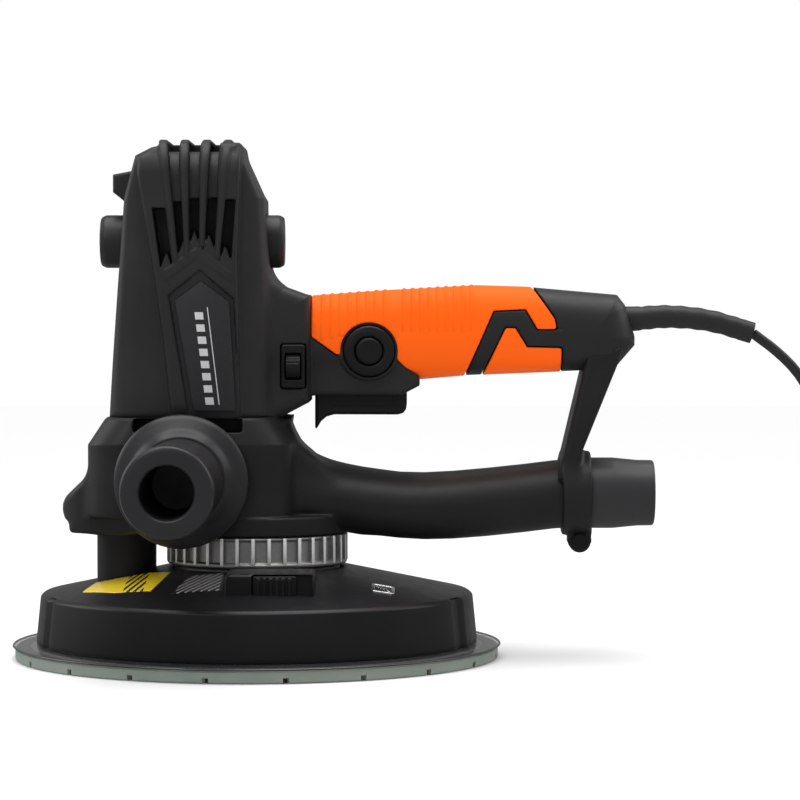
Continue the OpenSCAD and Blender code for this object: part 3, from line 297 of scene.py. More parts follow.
def printedPlate():
    # Satin plate with a thin rule and a row of plain blocks beside it, both on one slant.
    marks = {"foot": (-0.0162, 0.1244), "slant": 0.1214, "high": 0.1708, "rule": 0.00022,
             "blocks": (-0.0064, -0.0024), "pitch": 0.0058, "share": 0.6, "print": (0.5, 0.5, 0.5)}
    finish = Finish("plateGrey", (0.02, 0.02, 0.022), 0.4, Specular_IOR_Level=0.25)
    x, _, z = finish.parts()
    across = x - marks["foot"][0] + (z - marks["foot"][1]) * marks["slant"]
    long = (z > marks["foot"][1]) * (z < marks["high"])
    rule = (across > -marks["rule"]) * (across < marks["rule"])
    wave = finish.start.maths("FRACT", (z - marks["foot"][1]) * (1 / marks["pitch"]))
    blocks = (across > marks["blocks"][0]) * (across < marks["blocks"][1]) * (wave < marks["share"])
    grain = finish.noise(900.0, 2.0)
    ground = finish.mix(grain, (0.018, 0.018, 0.02), (0.024, 0.024, 0.026))
    finish.link("Base Color", finish.mix(long * (rule + blocks), ground, marks["print"]))
    finish.link("Roughness", 0.36 + 0.1 * grain)
    return finish


finishes["plate"] = printedPlate()
finishes["skirt"] = clearSheet()
finishes["ring"] = lightGuide()
finishes["yellow"] = stripedLabel(
    "yellowLabel", (0.9, 0.66, 0.02), (0.03, 0.028, 0.02), 0.0036, 0.5, -0.061, -0.051, 0.25)
finishes["stripes"] = stripedLabel(
    "darkLabel", (0.01, 0.01, 0.011), (0.4, 0.4, 0.39), 0.003, 0.3, -0.035, -0.0145, 0.6)

nodeFinish = {
    "abrasive_disc": "abrasive", "pad_foam": "foam", "pad_plate": "case", "pad_bolt": "screw",
    "spindle": "steel", "gear_key": "steel", "spindle_circlip": "steel", "drive_gear": "steel",
    "pinion": "steel", "armature_shaft": "steel", "spindle_bearings": "bearing",
    "motor_bearings": "bearing", "gear_case_screws": "screw", "cover_screws": "screw",
    "housing_screws": "screw", "shell_screws": "screw", "collar_screw": "screw",
    "side_handle_stud": "screw", "led_strip": "strip", "fan": "fan", "fan_baffle": "fan",
    "armature_core": "core", "stator": "core", "armature_windings": "winding",
    "field_windings": "winding", "commutator": "commutator", "carbon_brushes": "carbon",
    "brush_holders": "brass", "switch_body": "fan", "control_module": "board",
    "trigger_spring": "steel", "suction_pipe": "housing",
}


def dress(piece, key):
    piece.data.materials.clear()
    piece.data.materials.append(finishes[key].material)


for name, key in nodeFinish.items():
    dress(nodes[name], key)
print("finishes made")

slots = {
    "cord": "cord_rubber", "plug": "plug_plastic", "shell": "shell_plastic", "grip": "grip_orange",
    "housing": "housing_plastic", "yellow": "label_yellow", "stripes": "label_dark",
    "chrome": "badge_chrome", "cap": "cap_plastic", "side": "side_plastic", "port": "port_plastic",
    "cover": "cover_plastic", "control": "control_plastic", "skirt": "skirt_clear",
    "case": "aluminium_part", "ring": "light_guide", "plate": "plate_grey",
}


def settle(piece, key, *replaced, on="tool_body", slot=None):
    dress(piece, key)
    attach(piece, on)
    slot or slots[key]
    if replaced:
        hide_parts(*replaced)
    return piece


# Everything below is worked out in millimetres and turned into metres by makeMesh


def makeMesh(name, points, faces, normals=None):
    mesh = bpy.data.meshes.new(name)
    spots = (np.asarray(points, float) * mm).tolist()
    mesh.from_pydata(spots, [], [list(map(int, face)) for face in faces])
    mesh.validate()
    mesh.shade_smooth()
    if normals is not None:
        mesh.normals_split_custom_set_from_vertices(normals.tolist())
    piece = bpy.data.objects.new(name, mesh)
    scene.collection.objects.link(piece)
    return piece


def outward(piece, angle=34):
    work = bmesh.new()
    work.from_mesh(piece.data)
    bmesh.ops.remove_doubles(work, verts=work.verts, dist=1e-6)
    bmesh.ops.recalc_face_normals(work, faces=work.faces)
    work.to_mesh(piece.data)
    work.free()
    piece.data.shade_smooth()
    piece.data.set_sharp_from_angle(angle=math.radians(angle))
    return piece


def applied(piece):
    # The mesh that the piece's modifiers give takes the place of its own
    piece.update_tag()
    graph = bpy.context.evaluated_depsgraph_get()
    mesh = bpy.data.meshes.new_from_object(piece.evaluated_get(graph))
    piece.modifiers.clear()
    piece.data = mesh
    return piece


def mirror(piece, axis, middle):
    for vert in piece.data.vertices:
        vert.co[axis] = 2 * middle * mm - vert.co[axis]
    return piece


def merge(name, pieces):
    points, faces = [], []
    for piece in pieces:
        start = len(points)
        points += [tuple(vert.co / mm) for vert in piece.data.vertices]
        faces += [[start + index for index in face.vertices] for face in piece.data.polygons]
        bpy.data.objects.remove(piece)
    return outward(makeMesh(name, points, faces))


def through(points, parts):
    # Smooth curve through the points, with parts steps in each stretch
    spots = [np.array(point, float) for point in points]
    spots = [2 * spots[0] - spots[1]] + spots + [2 * spots[-1] - spots[-2]]
    curve = []
    for a, b, c, d in zip(spots, spots[1:], spots[2:], spots[3:]):
        for step in range(parts):
            t = step / parts
            curve.append(0.5 * (2 * b + (c - a) * t + (2 * a - 5 * b + 4 * c - d) * t * t
                                + (3 * b - a - 3 * c + d) * t ** 3))
    return curve + [spots[-2]]


def fullTurn(steps):
    return np.linspace(0, 2 * math.pi, steps, endpoint=False)


def quads(count, pairs):
    # Faces between pairs of loops that have count points each
    return [[a * count + k, a * count + (k + 1) % count, b * count + (k + 1) % count, b * count + k]
            for a, b in pairs for k in range(count)]


def tube(name, path, radii, sides=16):
    path = np.array(path)
    heading = np.gradient(path, axis=0)
    heading /= np.linalg.norm(heading, axis=1)[:, None]
    side = np.cross(heading[0], (0, 0, 1.0))
    points = []
    angles = fullTurn(sides)
    for spot, ahead, radius in zip(path, heading, radii):
        side = side - ahead * side.dot(ahead)
        side /= np.linalg.norm(side)
        up = np.cross(side, ahead)
        points += [spot + radius * (math.cos(a) * side + math.sin(a) * up) for a in angles]
    last = len(path) - 1
    faces = quads(sides, [(ring, ring + 1) for ring in range(last)])
    faces += [list(range(sides)), list(range(last * sides, (last + 1) * sides))]
    return outward(makeMesh(name, points, faces))


cord = {
    "diameter": 5.0,
    "route": [(243, 0, 158), (255, 2, 149), (266, 6, 138), (276, 15, 122), (284, 27, 102),
              (290, 38, 78), (295, 45, 52), (301, 49, 29), (310, 51, 12), (321, 52, 5),
              (334, 52, 3.5), (352, 52, 3.5)],
    "turns": 4,  # side by side, and as many layers
    "middleRadius": 28.5,
    "plugStart": 374,
}


def coilPoints():
    # Turns go in and out again layer by layer, stepping over in the last quarter of each turn
    across = cord["diameter"]
    steps = 24
    outer = cord["middleRadius"] + (cord["turns"] - 1) * across / 2
    centre = np.array((cord["route"][-1][0], cord["route"][-1][1] + outer))
    points = []
    radii = [outer - across * turn for turn in range(cord["turns"])]
    order = []
    for layer in range(cord["turns"]):
        order += [(radius, layer) for radius in (radii if layer % 2 == 0 else radii[::-1])]
    order.append(order[-1])
    for (radius, layer), (nextRadius, nextLayer) in zip(order, order[1:]):
        for step in range(steps):
            ease = max(0.0, step / steps * 4 - 3)
            ease = ease * ease * (3 - 2 * ease)
            r = radius + (nextRadius - radius) * ease
            height = cord["route"][-1][2] + across * (layer + (nextLayer - layer) * ease)
            angle = 2 * math.pi * step / steps - math.pi / 2
            points.append((centre[0] + r * math.cos(angle), centre[1] + r * math.sin(angle), height))
    return points, centre, outer


onAxis = 0.001  # a smaller radius counts as a point on the axis


def lathe(name, profile, origin, axis, sides=96):
    # profile holds (radius, distance along the axis); the axis is "x", "y" or "z"
    turns = {"x": (1, 2, 0), "y": (2, 0, 1), "z": (0, 1, 2)}[axis]
    points = []
    for radius, along in profile:
        for angle in fullTurn(sides):
            point = np.array(origin, float)
            point[turns[0]] += radius * math.cos(angle)
            point[turns[1]] += radius * math.sin(angle)
            point[turns[2]] += along
            points.append(point)
    count = len(profile)
    bands = [(i, (i + 1) % count) for i in range(count)]
    faces = quads(sides, [(i, j) for i, j in bands if max(profile[i][0], profile[j][0]) > onAxis])
    return outward(makeMesh(name, points, faces))


def softened(corners, radius, parts=4):
    # Closed outline with an arc at every corner that has room for it
    rounded = []
    count = len(corners)
    for i, corner in enumerate(corners):
        here = np.array(corner, float)
        back = np.array(corners[i - 1], float) - here
        ahead = np.array(corners[(i + 1) % count], float) - here
        reach = min(radius, 0.45 * np.linalg.norm(back), 0.45 * np.linalg.norm(ahead))
        if here[0] <= onAxis or reach < 0.02:
            rounded.append(tuple(here))
            continue
        start = here + back / np.linalg.norm(back) * reach
        end = here + ahead / np.linalg.norm(ahead) * reach
        for step in range(parts + 1):
            t = step / parts
            rounded.append(tuple((1 - t) ** 2 * start + 2 * t * (1 - t) * here + t * t * end))
    return rounded


plug = {
    "boot": 24, "body": 34, "radius": 18.5, "waist": 17.4, "ridges": 5,
    "pinRadius": 2.4, "pinLength": 19, "pinGap": 19,
}


def makePlug(y, z):
    start = cord["plugStart"]
    body = start + plug["boot"]
    end = body + plug["body"]
    ridges = []
    for k in range(plug["ridges"]):
        ridges += [(4.1 + 0.3 * k, start + 3 + 4 * k), (3.3 + 0.3 * k, start + 5 + 4 * k)]
    wide, waist = plug["radius"], plug["waist"]
    profile = [(0, start), (3.4, start), *ridges, (5.2, body - 1), (14, body + 5), (wide, body + 14),
               (wide, body + 20), (waist, body + 22), (waist, body + 28), (wide, body + 30),
               (wide, end), (0, end)]
    parts = [lathe("plugBody", softened(profile, 1.6), (0, y, z), "x", 64)]
    thick, tip = plug["pinRadius"], end + plug["pinLength"]
    pin = softened([(0, end - 1), (thick, end - 1), (thick, tip - 1.4), (thick - 1, tip), (0, tip)], 0.6)
    for side in (-1, 1):
        parts.append(lathe("pin", pin, (0, y + side * plug["pinGap"] / 2, z), "x", 24))
    return settle(merge("mainsPlug", parts), "plug", "plug")


tie = {"half": 3, "thick": 0.8, "gap": 0.1, "corner": 2.5}


def makeTie(centre, outer):
    # Flat strap round the whole bundle, on the side away from the plug
    reach = cord["diameter"] / 2 + tie["gap"]
    inner = outer - (cord["turns"] - 1) * cord["diameter"]
    low = cord["route"][-1][2] - reach
    high = low + cord["turns"] * cord["diameter"] + 2 * tie["gap"]
    half, thick = tie["half"], tie["thick"]
    loops = []
    for grow, width in ((0.0, half), (thick, half), (thick, -half), (0.0, -half)):
        corners = [(inner - reach - grow, low - grow), (outer + reach + grow, low - grow),
                   (outer + reach + grow, high + grow), (inner - reach - grow, high + grow)]
        section = softened(corners, tie["corner"], 5)
        loops.append([(centre[0] + width, centre[1] + u, v) for u, v in section])
    faces = quads(len(loops[0]), ((0, 1), (1, 2), (2, 3), (3, 0)))
    return settle(outward(makeMesh("cordTie", sum(loops, []), faces)), "cord")


def makeCord():
    across = cord["diameter"]
    free = through(cord["route"], 3)[:-1]
    turns, centre, outer = coilPoints()
    last = np.array(turns[0], float)
    height = turns[-1][2]
    out = [(along, last[1], height) for along in (last[0], last[0] + 11, cord["plugStart"] + 2)]
    path = [tuple(point) for point in free] + turns + out
    piece = tube("powerCord", path, [across / 2] * len(path), 12)
    settle(piece, "cord", "cord", "cord_coil")
    ends = [makePlug(last[1], height), makeTie(centre, outer)]


makeCord()
print("cord made")


# Carved bodies are signed distances: negative inside, positive outside


def outline(u, v, corners):
    best = np.full(u.shape, 1e18)
    inside = np.zeros(u.shape, bool)
    for (ax, ay), (bx, by) in zip(corners, corners[1:] + corners[:1]):
        ex, ey = bx - ax, by - ay
        wx, wy = u - ax, v - ay
        t = np.clip((wx * ex + wy * ey) / (ex * ex + ey * ey), 0, 1)
        best = np.minimum(best, (wx - ex * t) ** 2 + (wy - ey * t) ** 2)
        inside ^= ((ay <= v) != (by <= v)) & ((ex * wy - ey * wx > 0) == (by > ay))
    return np.where(inside, -1, 1) * np.sqrt(best)


def softBox(u, v, halfU, halfV, radius):
    qu = np.abs(u) - halfU + radius
    qv = np.abs(v) - halfV + radius
    return np.hypot(np.maximum(qu, 0), np.maximum(qv, 0)) + np.minimum(np.maximum(qu, qv), 0) - radius


def stroke(u, v, start, end, half):
    ex, ey = end[0] - start[0], end[1] - start[1]
    t = np.clip(((u - start[0]) * ex + (v - start[1]) * ey) / (ex * ex + ey * ey), 0, 1)
    return np.hypot(u - start[0] - ex * t, v - start[1] - ey * t) - half


def meet(a, b, blend=0.8):
    h = np.maximum(blend - np.abs(a - b), 0) / blend
    return np.maximum(a, b) + h * h * blend * 0.25


def join(a, b, blend=0.8):
    return -meet(-a, -b, blend)


def cut(a, b, blend=0.8):
    return meet(a, -b, blend)


def rod(p, axis, centre, radius, low, high, blend=0.8):
    others = [k for k in range(3) if k != axis]
    radial = np.hypot(p[others[0]] - centre[0], p[others[1]] - centre[1]) - radius
    return meet(radial, np.abs(p[axis] - (low + high) / 2) - (high - low) / 2, blend)


def brick(p, low, high, blend=0.8):
    x, y, z = [np.abs(p[k] - (low[k] + high[k]) / 2) - (high[k] - low[k]) / 2 for k in range(3)]
    return meet(meet(x, y, blend), z, blend)


def slope(field, spots, reach=0.05):
    sides = []
    for k in range(3):
        ahead, behind = spots.copy(), spots.copy()
        ahead[k] += reach
        behind[k] -= reach
        sides.append((field(ahead) - field(behind)) / (2 * reach))
    return np.array(sides)


def nearGrid(field, low, high, step):
    # The distance is worked out in full only in blocks that can hold the surface
    wide = 4  # grid points along a block's side

    def spread(values):
        return values.repeat(wide, 0).repeat(wide, 1).repeat(wide, 2)

    low, high = np.array(low, float) - 2 * step, np.array(high, float) + 2 * step
    blocks = np.ceil((high - low) / step / wide).astype(int) + 1
    middle = low + (wide - 1) / 2 * step
    centres = np.indices(blocks).reshape(3, -1) * (wide * step) + middle[:, None]
    rough = field(centres).reshape(blocks)
    grid = spread(rough)
    close = spread(np.abs(rough) < (wide + 0.5) * step)
    where = np.array(np.nonzero(close))
    grid[close] = field(where * step + low[:, None])
    return grid, low


def skin(name, field, low, high, step):
    # One point in each grid cell that the surface crosses, drawn onto the surface
    grid, start = nearGrid(field, low, high, step)
    solid = grid < 0
    corners = [(i, j, k) for i in (0, 1) for j in (0, 1) for k in (0, 1)]
    size = np.array(grid.shape) - 1
    count = np.zeros(size, int)
    for i, j, k in corners:
        count += solid[i:i + size[0], j:j + size[1], k:k + size[2]]
    cells = np.array(np.nonzero((count > 0) & (count < 8)))
    values = [grid[cells[0] + i, cells[1] + j, cells[2] + k] for i, j, k in corners]
    total = np.zeros((3, cells.shape[1]))
    hits = np.zeros(cells.shape[1])
    for a in range(8):
        for b in range(a + 1, 8):
            ahead = np.array(corners[b]) - np.array(corners[a])
            if np.abs(ahead).sum() != 1 or ahead.min() < 0:
                continue
            crossed = (values[a] < 0) != (values[b] < 0)
            share = np.where(crossed, values[a] / np.where(crossed, values[a] - values[b], 1), 0)
            place = np.array(corners[a])[:, None] + ahead[:, None] * share
            total += np.where(crossed, place, 0)
            hits += crossed
    spots = (cells + total / hits) * step + start[:, None]
    cellOf = np.full(size, -1)
    cellOf[tuple(cells)] = np.arange(cells.shape[1])
    faces = []
    for axis in range(3):
        one, two = [k for k in range(3) if k != axis]
        here, there = [slice(1, -1)] * 3, [slice(1, -1)] * 3
        here[axis], there[axis] = slice(0, -1), slice(1, None)
        crossed = solid[tuple(here)] != solid[tuple(there)]
        edge = np.array(np.nonzero(crossed))
        edge[[one, two]] += 1
        inner = solid[tuple(edge)]
        ring = []
        for back in ((0, 0), (1, 0), (1, 1), (0, 1)):
            cell = edge.copy()
            cell[[one, two]] -= np.array(back)[:, None]
            ring.append(cellOf[tuple(cell)])
        ring = np.array(ring).T
        flip = inner if axis == 1 else ~inner
        ring[flip] = ring[flip][:, ::-1]
        faces.append(ring)
    faces = np.concatenate(faces)
    for _ in range(3):
        grade = slope(field, spots)
        steepness = np.maximum((grade ** 2).sum(0), 0.05)
        move = np.clip(field(spots) / steepness, -step / 2, step / 2) * grade
        spots = spots - move
    grade = slope(field, spots)
    normals = (grade / np.maximum(np.linalg.norm(grade, axis=0), 1e-9)).T
    piece = makeMesh(name, spots.T, faces, normals)
    print(name, len(faces) * 2, "triangles")
    return piece


body = {
    "centreX": -31, "halfLength": 41, "halfWidth": 36.5, "corner": 17,
    "low": 118, "middle": 180, "top": 249.4,
    "draw": 0.018,  # how much the sides draw in for each millimetre of height
    "layerDraw": 0.6,  # share of that which the layers below follow
    # half width, height of the top over the body's own, corner radius
    "layers": {"panel": (40.2, 0.4, 15), "floor": (37.6, -3.6, 13), "rib": (41.3, 2.1, 16.5),
               "chevron": (40.6, -9.4, 2)},
    "outline": [(-70.8, 117), (-62.3, 223.4), (-56.8, 243.5), (-49, 247.4), (-40, 249.2), (-7.8, 249.4),
                (2.8, 226.2), (4.6, 223.4), (4.8, 215.2), (7.4, 184.7), (9.6, 117)],
    "panel": [(-38.4, 112), (-43, 155.2), (-48.4, 193.4), (-51.8, 213.4), (-55, 233.5), (-54.8, 242.8),
              (-49, 246.2), (-42, 249.6), (-38, 256), (-5.6, 256), (-5.8, 247.4), (-6.9, 220.1),
              (-7.7, 193.4), (-6.9, 155.2), (-6.3, 112)],
    "lug": [(-69.8, 235.5), (-58.8, 237.6), (-52, 240), (-52, 222), (-63, 221.4), (-69.8, 226.9)],
    "ribs": [(-43.3, -36.9, 192.6), (-33.1, -31.6, 194.6), (-22.9, -24.4, 200.1), (-12.9, -17.2, 193.9)],
    "vents": [(-45.1, 217.2, -41.3, 193.4), (-36.8, 220.1, -33.5, 198.2), (-28.5, 221.7, -28.0, 203.4),
              (-20.1, 222.0, -21.1, 202.0), (-11.5, 221.3, -13.4, 196.7)],
    "recess": [(-25.6, 188.6), (-40.4, 176.5), (-30.2, 116), (-6.0, 116), (-9.4, 175)],
    "plaque": [(-24.9, 183.1), (-37.3, 173.8), (-28.2, 121.4), (-8.3, 121.4), (-11.6, 173.2)],
    "chevron": [(-27, 199.4), (-42.5, 188.6), (-41.4, 183.4), (-27, 194), (-10.2, 182.2), (-9.9, 187.2)],
}
neck = [(-11, 118), (13, 118), (26.5, 125.1), (26.5, 176.4), (14.4, 180.8), (5, 188), (-11, 189.5)]
handle = {
    "halfWidth": 20, "blend": 19, "start": 21,
    "outline": [(15, 176.4), (26.5, 176.4), (60, 178.9), (107, 181.5), (133, 180.7), (176, 176.9),
                (180, 171.8), (184.6, 156.8), (184.6, 152.4), (174.6, 140.8), (148.5, 139.7),
                (102, 137.8), (81, 136), (15, 136)],
    "grip": [(26.8, 190), (128, 190), (145, 165.3), (146, 160.2), (148.5, 160.2), (148.5, 130),
             (79, 130), (79, 134.5), (67, 147), (39.2, 147.8), (26.8, 156.6)],
    "band": [(101.8, 130), (101.8, 138.2), (115.4, 168.9), (130.7, 169.7), (136.4, 160.1), (149, 160.1),
             (149, 151.4), (131.6, 151.8), (125.9, 161), (121, 161), (110.2, 138.7), (110.2, 130)],
    # first rib, pitch, how many, and where the first and last of them end
    "ribs": [(32.6, 4.3, 8, 156, 163), (72, 4.1, 9, 160.5, 160.5)],
}
bay = [(24, 139), (24, 128), (70.2, 128), (79.6, 132.9), (79.6, 137), (66, 148), (24, 148)]
lockPlace = (55, 149.7)
rockerPlace = (18.5, 142.4)
openings = {
    "trigger": ((27.9, -11.3, 110), (74.1, 11.3, 144)),
    "rocker": ((12.4, -40, 131.5), (24.6, -17, 153.3)),
    "lockRadius": 12.5, "capRadius": 13.3, "capHeight": 203, "capSpans": ((-90, -64.6), (2.4, 30)),
    "reliefRadius": 6.9, "reliefHeight": 165.3, "screwRadius": 3.2,
    "screws": [(-53, 239.9), (-10, 239.9), (10, 167.5), (86, 145.5), (142, 170.5), (166, 148.5)],
}
nowhere = 1e3  # a distance that no surface is at


def motorBody(p):
    x, y, z = p
    width = np.abs(y)
    lean = body["draw"] * (z - body["low"])
    narrow = body["layerDraw"] * lean

    def layer(name):  # section across X of a part that stands over the core
        half, over, corner = body["layers"][name]
        return softBox(y, z - body["middle"], half - narrow, body["top"] - body["middle"] + over, corner)

    plan = softBox(x - body["centreX"], y, body["halfLength"], body["halfWidth"] - lean, body["corner"])
    core = meet(outline(x, z, body["outline"]), plan, 4)
    flat = meet(outline(x, z, body["panel"]), layer("panel"), 2.2)
    flat = meet(flat, body["low"] - 0.4 - z, 0.5)
    shape = join(core, flat, 1.6)
    shape = join(shape, meet(outline(x, z, body["lug"]), width - 8.5, 2), 1.5)
    high = 247  # ribs and slots get thinner below this height
    ribs = np.full(x.shape, nowhere)
    for top, bottom, low in body["ribs"]:
        ahead = (top + (top - bottom) * 13 / (high - low), high + 13)
        ribs = np.minimum(ribs, stroke(x, z, ahead, (bottom, low + 1), 2.3 - 0.019 * (high - z)))
    slots = np.full(x.shape, nowhere)
    deep = np.full(x.shape, nowhere)
    for number, (topX, topZ, lowX, lowZ) in enumerate(body["vents"]):
        window = [(topX - 3.1, topZ + 1), (topX + 3.1, topZ + 1), (lowX + 2.9, lowZ - 4),
                  (lowX, lowZ + 4), (lowX - 2.9, lowZ - 4)]
        deep = np.minimum(deep, outline(x, z, window))
        if 0 < number < len(body["vents"]) - 1:
            ahead = (topX + (topX - lowX) * (258 - topZ) / (topZ - lowZ) * 0.4, 258)
            slots = np.minimum(slots, stroke(x, z, ahead, (topX, topZ - 2), 3.3 - 0.02 * (high - z)))
    shape = cut(shape, meet(meet(slots, -layer("floor"), 0.6), 24.5 - width, 0.5), 0.7)
    shape = cut(shape, meet(deep, 27 - width, 0.5), 0.8)
    crown = meet(slots, meet(body["top"] - 22 - z, np.abs(width - 15) - 10.5, 0.6), 0.6)
    shape = cut(shape, crown, 0.6)
    flanks = meet(layer("rib"), 30 - np.maximum(width, (z - 200) * 0.62), 1)
    shape = join(shape, meet(ribs, flanks, 1.7), 0.7)
    shape = join(shape, meet(outline(x, z, body["chevron"]), layer("chevron"), 1.0), 0.5)
    recess = meet(outline(x, z, body["recess"]), 38.9 - narrow - width, 0.4)
    return cut(shape, recess, 1.1)


def handleBody(p, grow=0.0):
    x, y, z = p
    return meet(outline(x, z, handle["outline"]), np.abs(y) - handle["halfWidth"], handle["blend"]) - grow


def gripArea(x, z):
    return meet(outline(x, z, handle["grip"]), -outline(x, z, handle["band"]), 1.6)


def shellBody(p):
    x, y, z = p
    width = np.abs(y)
    shape = join(motorBody(p), meet(outline(x, z, neck), width - 25.6, 7), 5)
    bare = handleBody(p, 0.1)
    gripped = cut(bare, meet(gripArea(x, z) - 0.35, -handleBody(p, -1.9), 0.3), 0.5)
    shape = join(shape, meet(gripped, handle["start"] - x, 0.5), 1.5)
    guard = meet(outline(x, z, bay), width - 17.2, 3)
    shape = join(shape, guard, 1.8)
    pad = stroke(x, z, lockPlace, (lockPlace[0] + 0.1, lockPlace[1]), 14.2)
    shape = join(shape, meet(pad, width - 19.2, 1.2), 1.5)
    shape = cut(shape, brick(p, *openings["trigger"], 1), 0.6)
    shape = cut(shape, brick(p, *openings["rocker"], 1.2), 0.5)
    shape = cut(shape, rod(p, 1, lockPlace, openings["lockRadius"], -40, -8, 0.3), 0.5)
    for low, high in openings["capSpans"]:
        shape = cut(shape, rod(p, 0, (0, openings["capHeight"]), openings["capRadius"], low, high, 0.4), 0.6)
    relief = rod(p, 0, (0, openings["reliefHeight"]), openings["reliefRadius"], 172, 200, 0.3)
    shape = cut(shape, relief, 0.8)
    for spot in openings["screws"]:
        shape = cut(shape, rod(p, 1, spot, openings["screwRadius"], 14, 80, 0.3), 0.5)
    return meet(shape, body["low"] - 0.4 - z - 60 * (x > 12), 0.5)


def halfOf(field, side, gap=0.12):
    # One side of a split casing; the edge at the split is eased into a fine groove
    return lambda p: meet(field(p), gap - side * p[1], 0.9)


def makeHalves(kind, field, low, high, step):
    for word, side in (("Left", -1), ("Right", 1)):
        near, far = (-high[1], 1) if side < 0 else (-1, high[1])
        piece = skin(kind + word, halfOf(field, side), (low[0], near, low[1]), (high[0], far, high[2]), step)
        settle(piece, kind, kind + "_" + word.lower())


def gripBody(p):
    x, _, z = p
    proud = 0.25
    ribs = np.full(x.shape, nowhere)
    for first, pitch, count, start, end in handle["ribs"]:
        for k in range(count):
            low = start + (end - start) * k / count
            place = first + pitch * k
            ribs = np.minimum(ribs, stroke(x, z, (place, 190), (place, low), 1.1))
    raised = 0.5 * np.clip(-ribs / 1.1, 0, 1)
    pressed = 0.12 * np.clip(1 - np.abs(ribs - 0.5) / 0.7, 0, 1)
    outer = handleBody(p, proud) - raised + pressed
    shape = meet(outer, gripArea(x, z) + 0.25, 0.7)
    shape = cut(shape, handleBody(p, -1.7), 0.3)
    return cut(shape, rod(p, 1, lockPlace, 13.8, -40, 0, 0.2), 0.7)


duct = {
    # X, middle height, half height, half width
    "stations": [(20, 80.5, 19.5, 24), (44, 77.6, 16.8, 21.6), (51, 76.3, 16.7, 21.2),
                 (60, 75.4, 16.3, 20.6), (70, 74.2, 16.2, 19.9), (82, 73.7, 16.4, 19.3),
                 (96, 74.2, 16.6, 18.7), (112, 75.5, 16.7, 18), (130, 77.4, 16.7, 17.4),
                 (145.5, 79.3, 16.7, 17), (160, 80, 16.7, 16.7)],
    "above": 1.8, "below": 2.7, "join": 44, "lap": 2, "end": 158,
}


def ductBody(p):
    x, y, z = p
    xs, *columns = zip(*duct["stations"])
    middle, height, width = [np.interp(x, xs, column) for column in columns]
    # Rounder on top, so a soft edge runs along each side
    power = np.where(z > middle, duct["above"], duct["below"])
    share = np.abs(y / width) ** power + np.abs((z - middle) / height) ** power
    return (np.maximum(share, 1e-6) ** (1 / power) - 1) * np.minimum(height, width)


housing = {
    "side": (-34, 88),  # X and height of the side handle's boss
    "nose": [(-60, 61.5), (-60, 92), (-78, 92), (-81.2, 89.4), (-92.6, 79), (-95, 75.6), (-95.4, 72),
             (-93.6, 68.2), (-91, 66.4), (-90.6, 62.6), (-89.5, 61.5)],
    "shoulder": [(-20, 118), (17.8, 118), (17, 114.2), (18.6, 110), (21, 105.4), (28.2, 99.4),
                 (36.4, 95), (44, 92.6), (44, 70), (-20, 70)],
    "collarRadius": 43.2, "bossRadius": 17.6, "sideHole": 3.4, "pipeHole": 15.0, "pipeX": -64,
}


def lowerBody(p):
    x, y, z = p
    width = np.abs(y)
    lean = np.clip((117.7 - z) / 12.9, 0, 1)
    top = softBox(x + 31, y, 41 + 8.4 * lean, 39.5 + 3 * lean, 18)
    main = meet(meet(top, z - 118, 1.5), 70 - z, 2)
    main = meet(main, x - 26 - 0.35 * np.maximum(118 - z, 0), 6)
    wing = meet(outline(x, z, housing["nose"]), softBox(x + 67, y, 28.6, 29, 25), 3)
    wing = join(wing, meet(np.hypot(x + 38, y) - 42.5, np.abs(z - 74) - 12, 4), 8)
    collar = rod(p, 2, (0, 0), housing["collarRadius"], 60.8, 70.2, 1.2)
    boss = rod(p, 1, housing["side"], housing["bossRadius"], -45, 45, 2)
    flow = meet(ductBody(p), -x - 6, 4)
    shoulder = meet(outline(x, z, housing["shoulder"]), width - 24 + 0.16 * (x - 10), 8)
    shape = join(join(main, wing, 4), join(flow, shoulder, 4), 6)
    shape = join(shape, boss, 3)
    slot = meet(meet(np.abs(x + 31.5) - 26, np.abs(z - 114.2) - 3.1, 1.2), 26 - width, 0.4)
    shape = cut(shape, slot, 0.7)
    shape = cut(shape, rod(p, 2, (housing["pipeX"], 0), housing["pipeHole"], 55, 65, 0.3), 0.6)
    shape = cut(shape, rod(p, 1, housing["side"], housing["sideHole"], 20, 50, 0.3), 0.5)
    fade = np.clip((x - 27) / 17, 0, 1)  # runs into the duct's own section at the seam
    fade = fade * fade * (3 - 2 * fade)
    shape = shape * (1 - fade) + ductBody(p) * fade
    shape = join(shape, collar, 1.5)
    return meet(meet(shape, x - duct["join"], 0.1), 61 - z, 0.8)


def tubeBody(p):
    hidden = duct["join"] - duct["lap"]
    return meet(meet(ductBody(p), hidden - p[0], 0.1), p[0] - duct["end"], 1)


strut = {
    "arm": [(161.5, 152), (146.2, 87), (155, 85), (159, 101.9), (176.4, 145), (178.4, 152)],
    "armHalf": 17.5, "collar": (156.1, 20.6, 7.1),  # X, radius, half width
    "duct": (156, 80, 17.0), "foot": (157.8, 56.4, 5.4), "footHalf": 7, "split": 0.8,
}


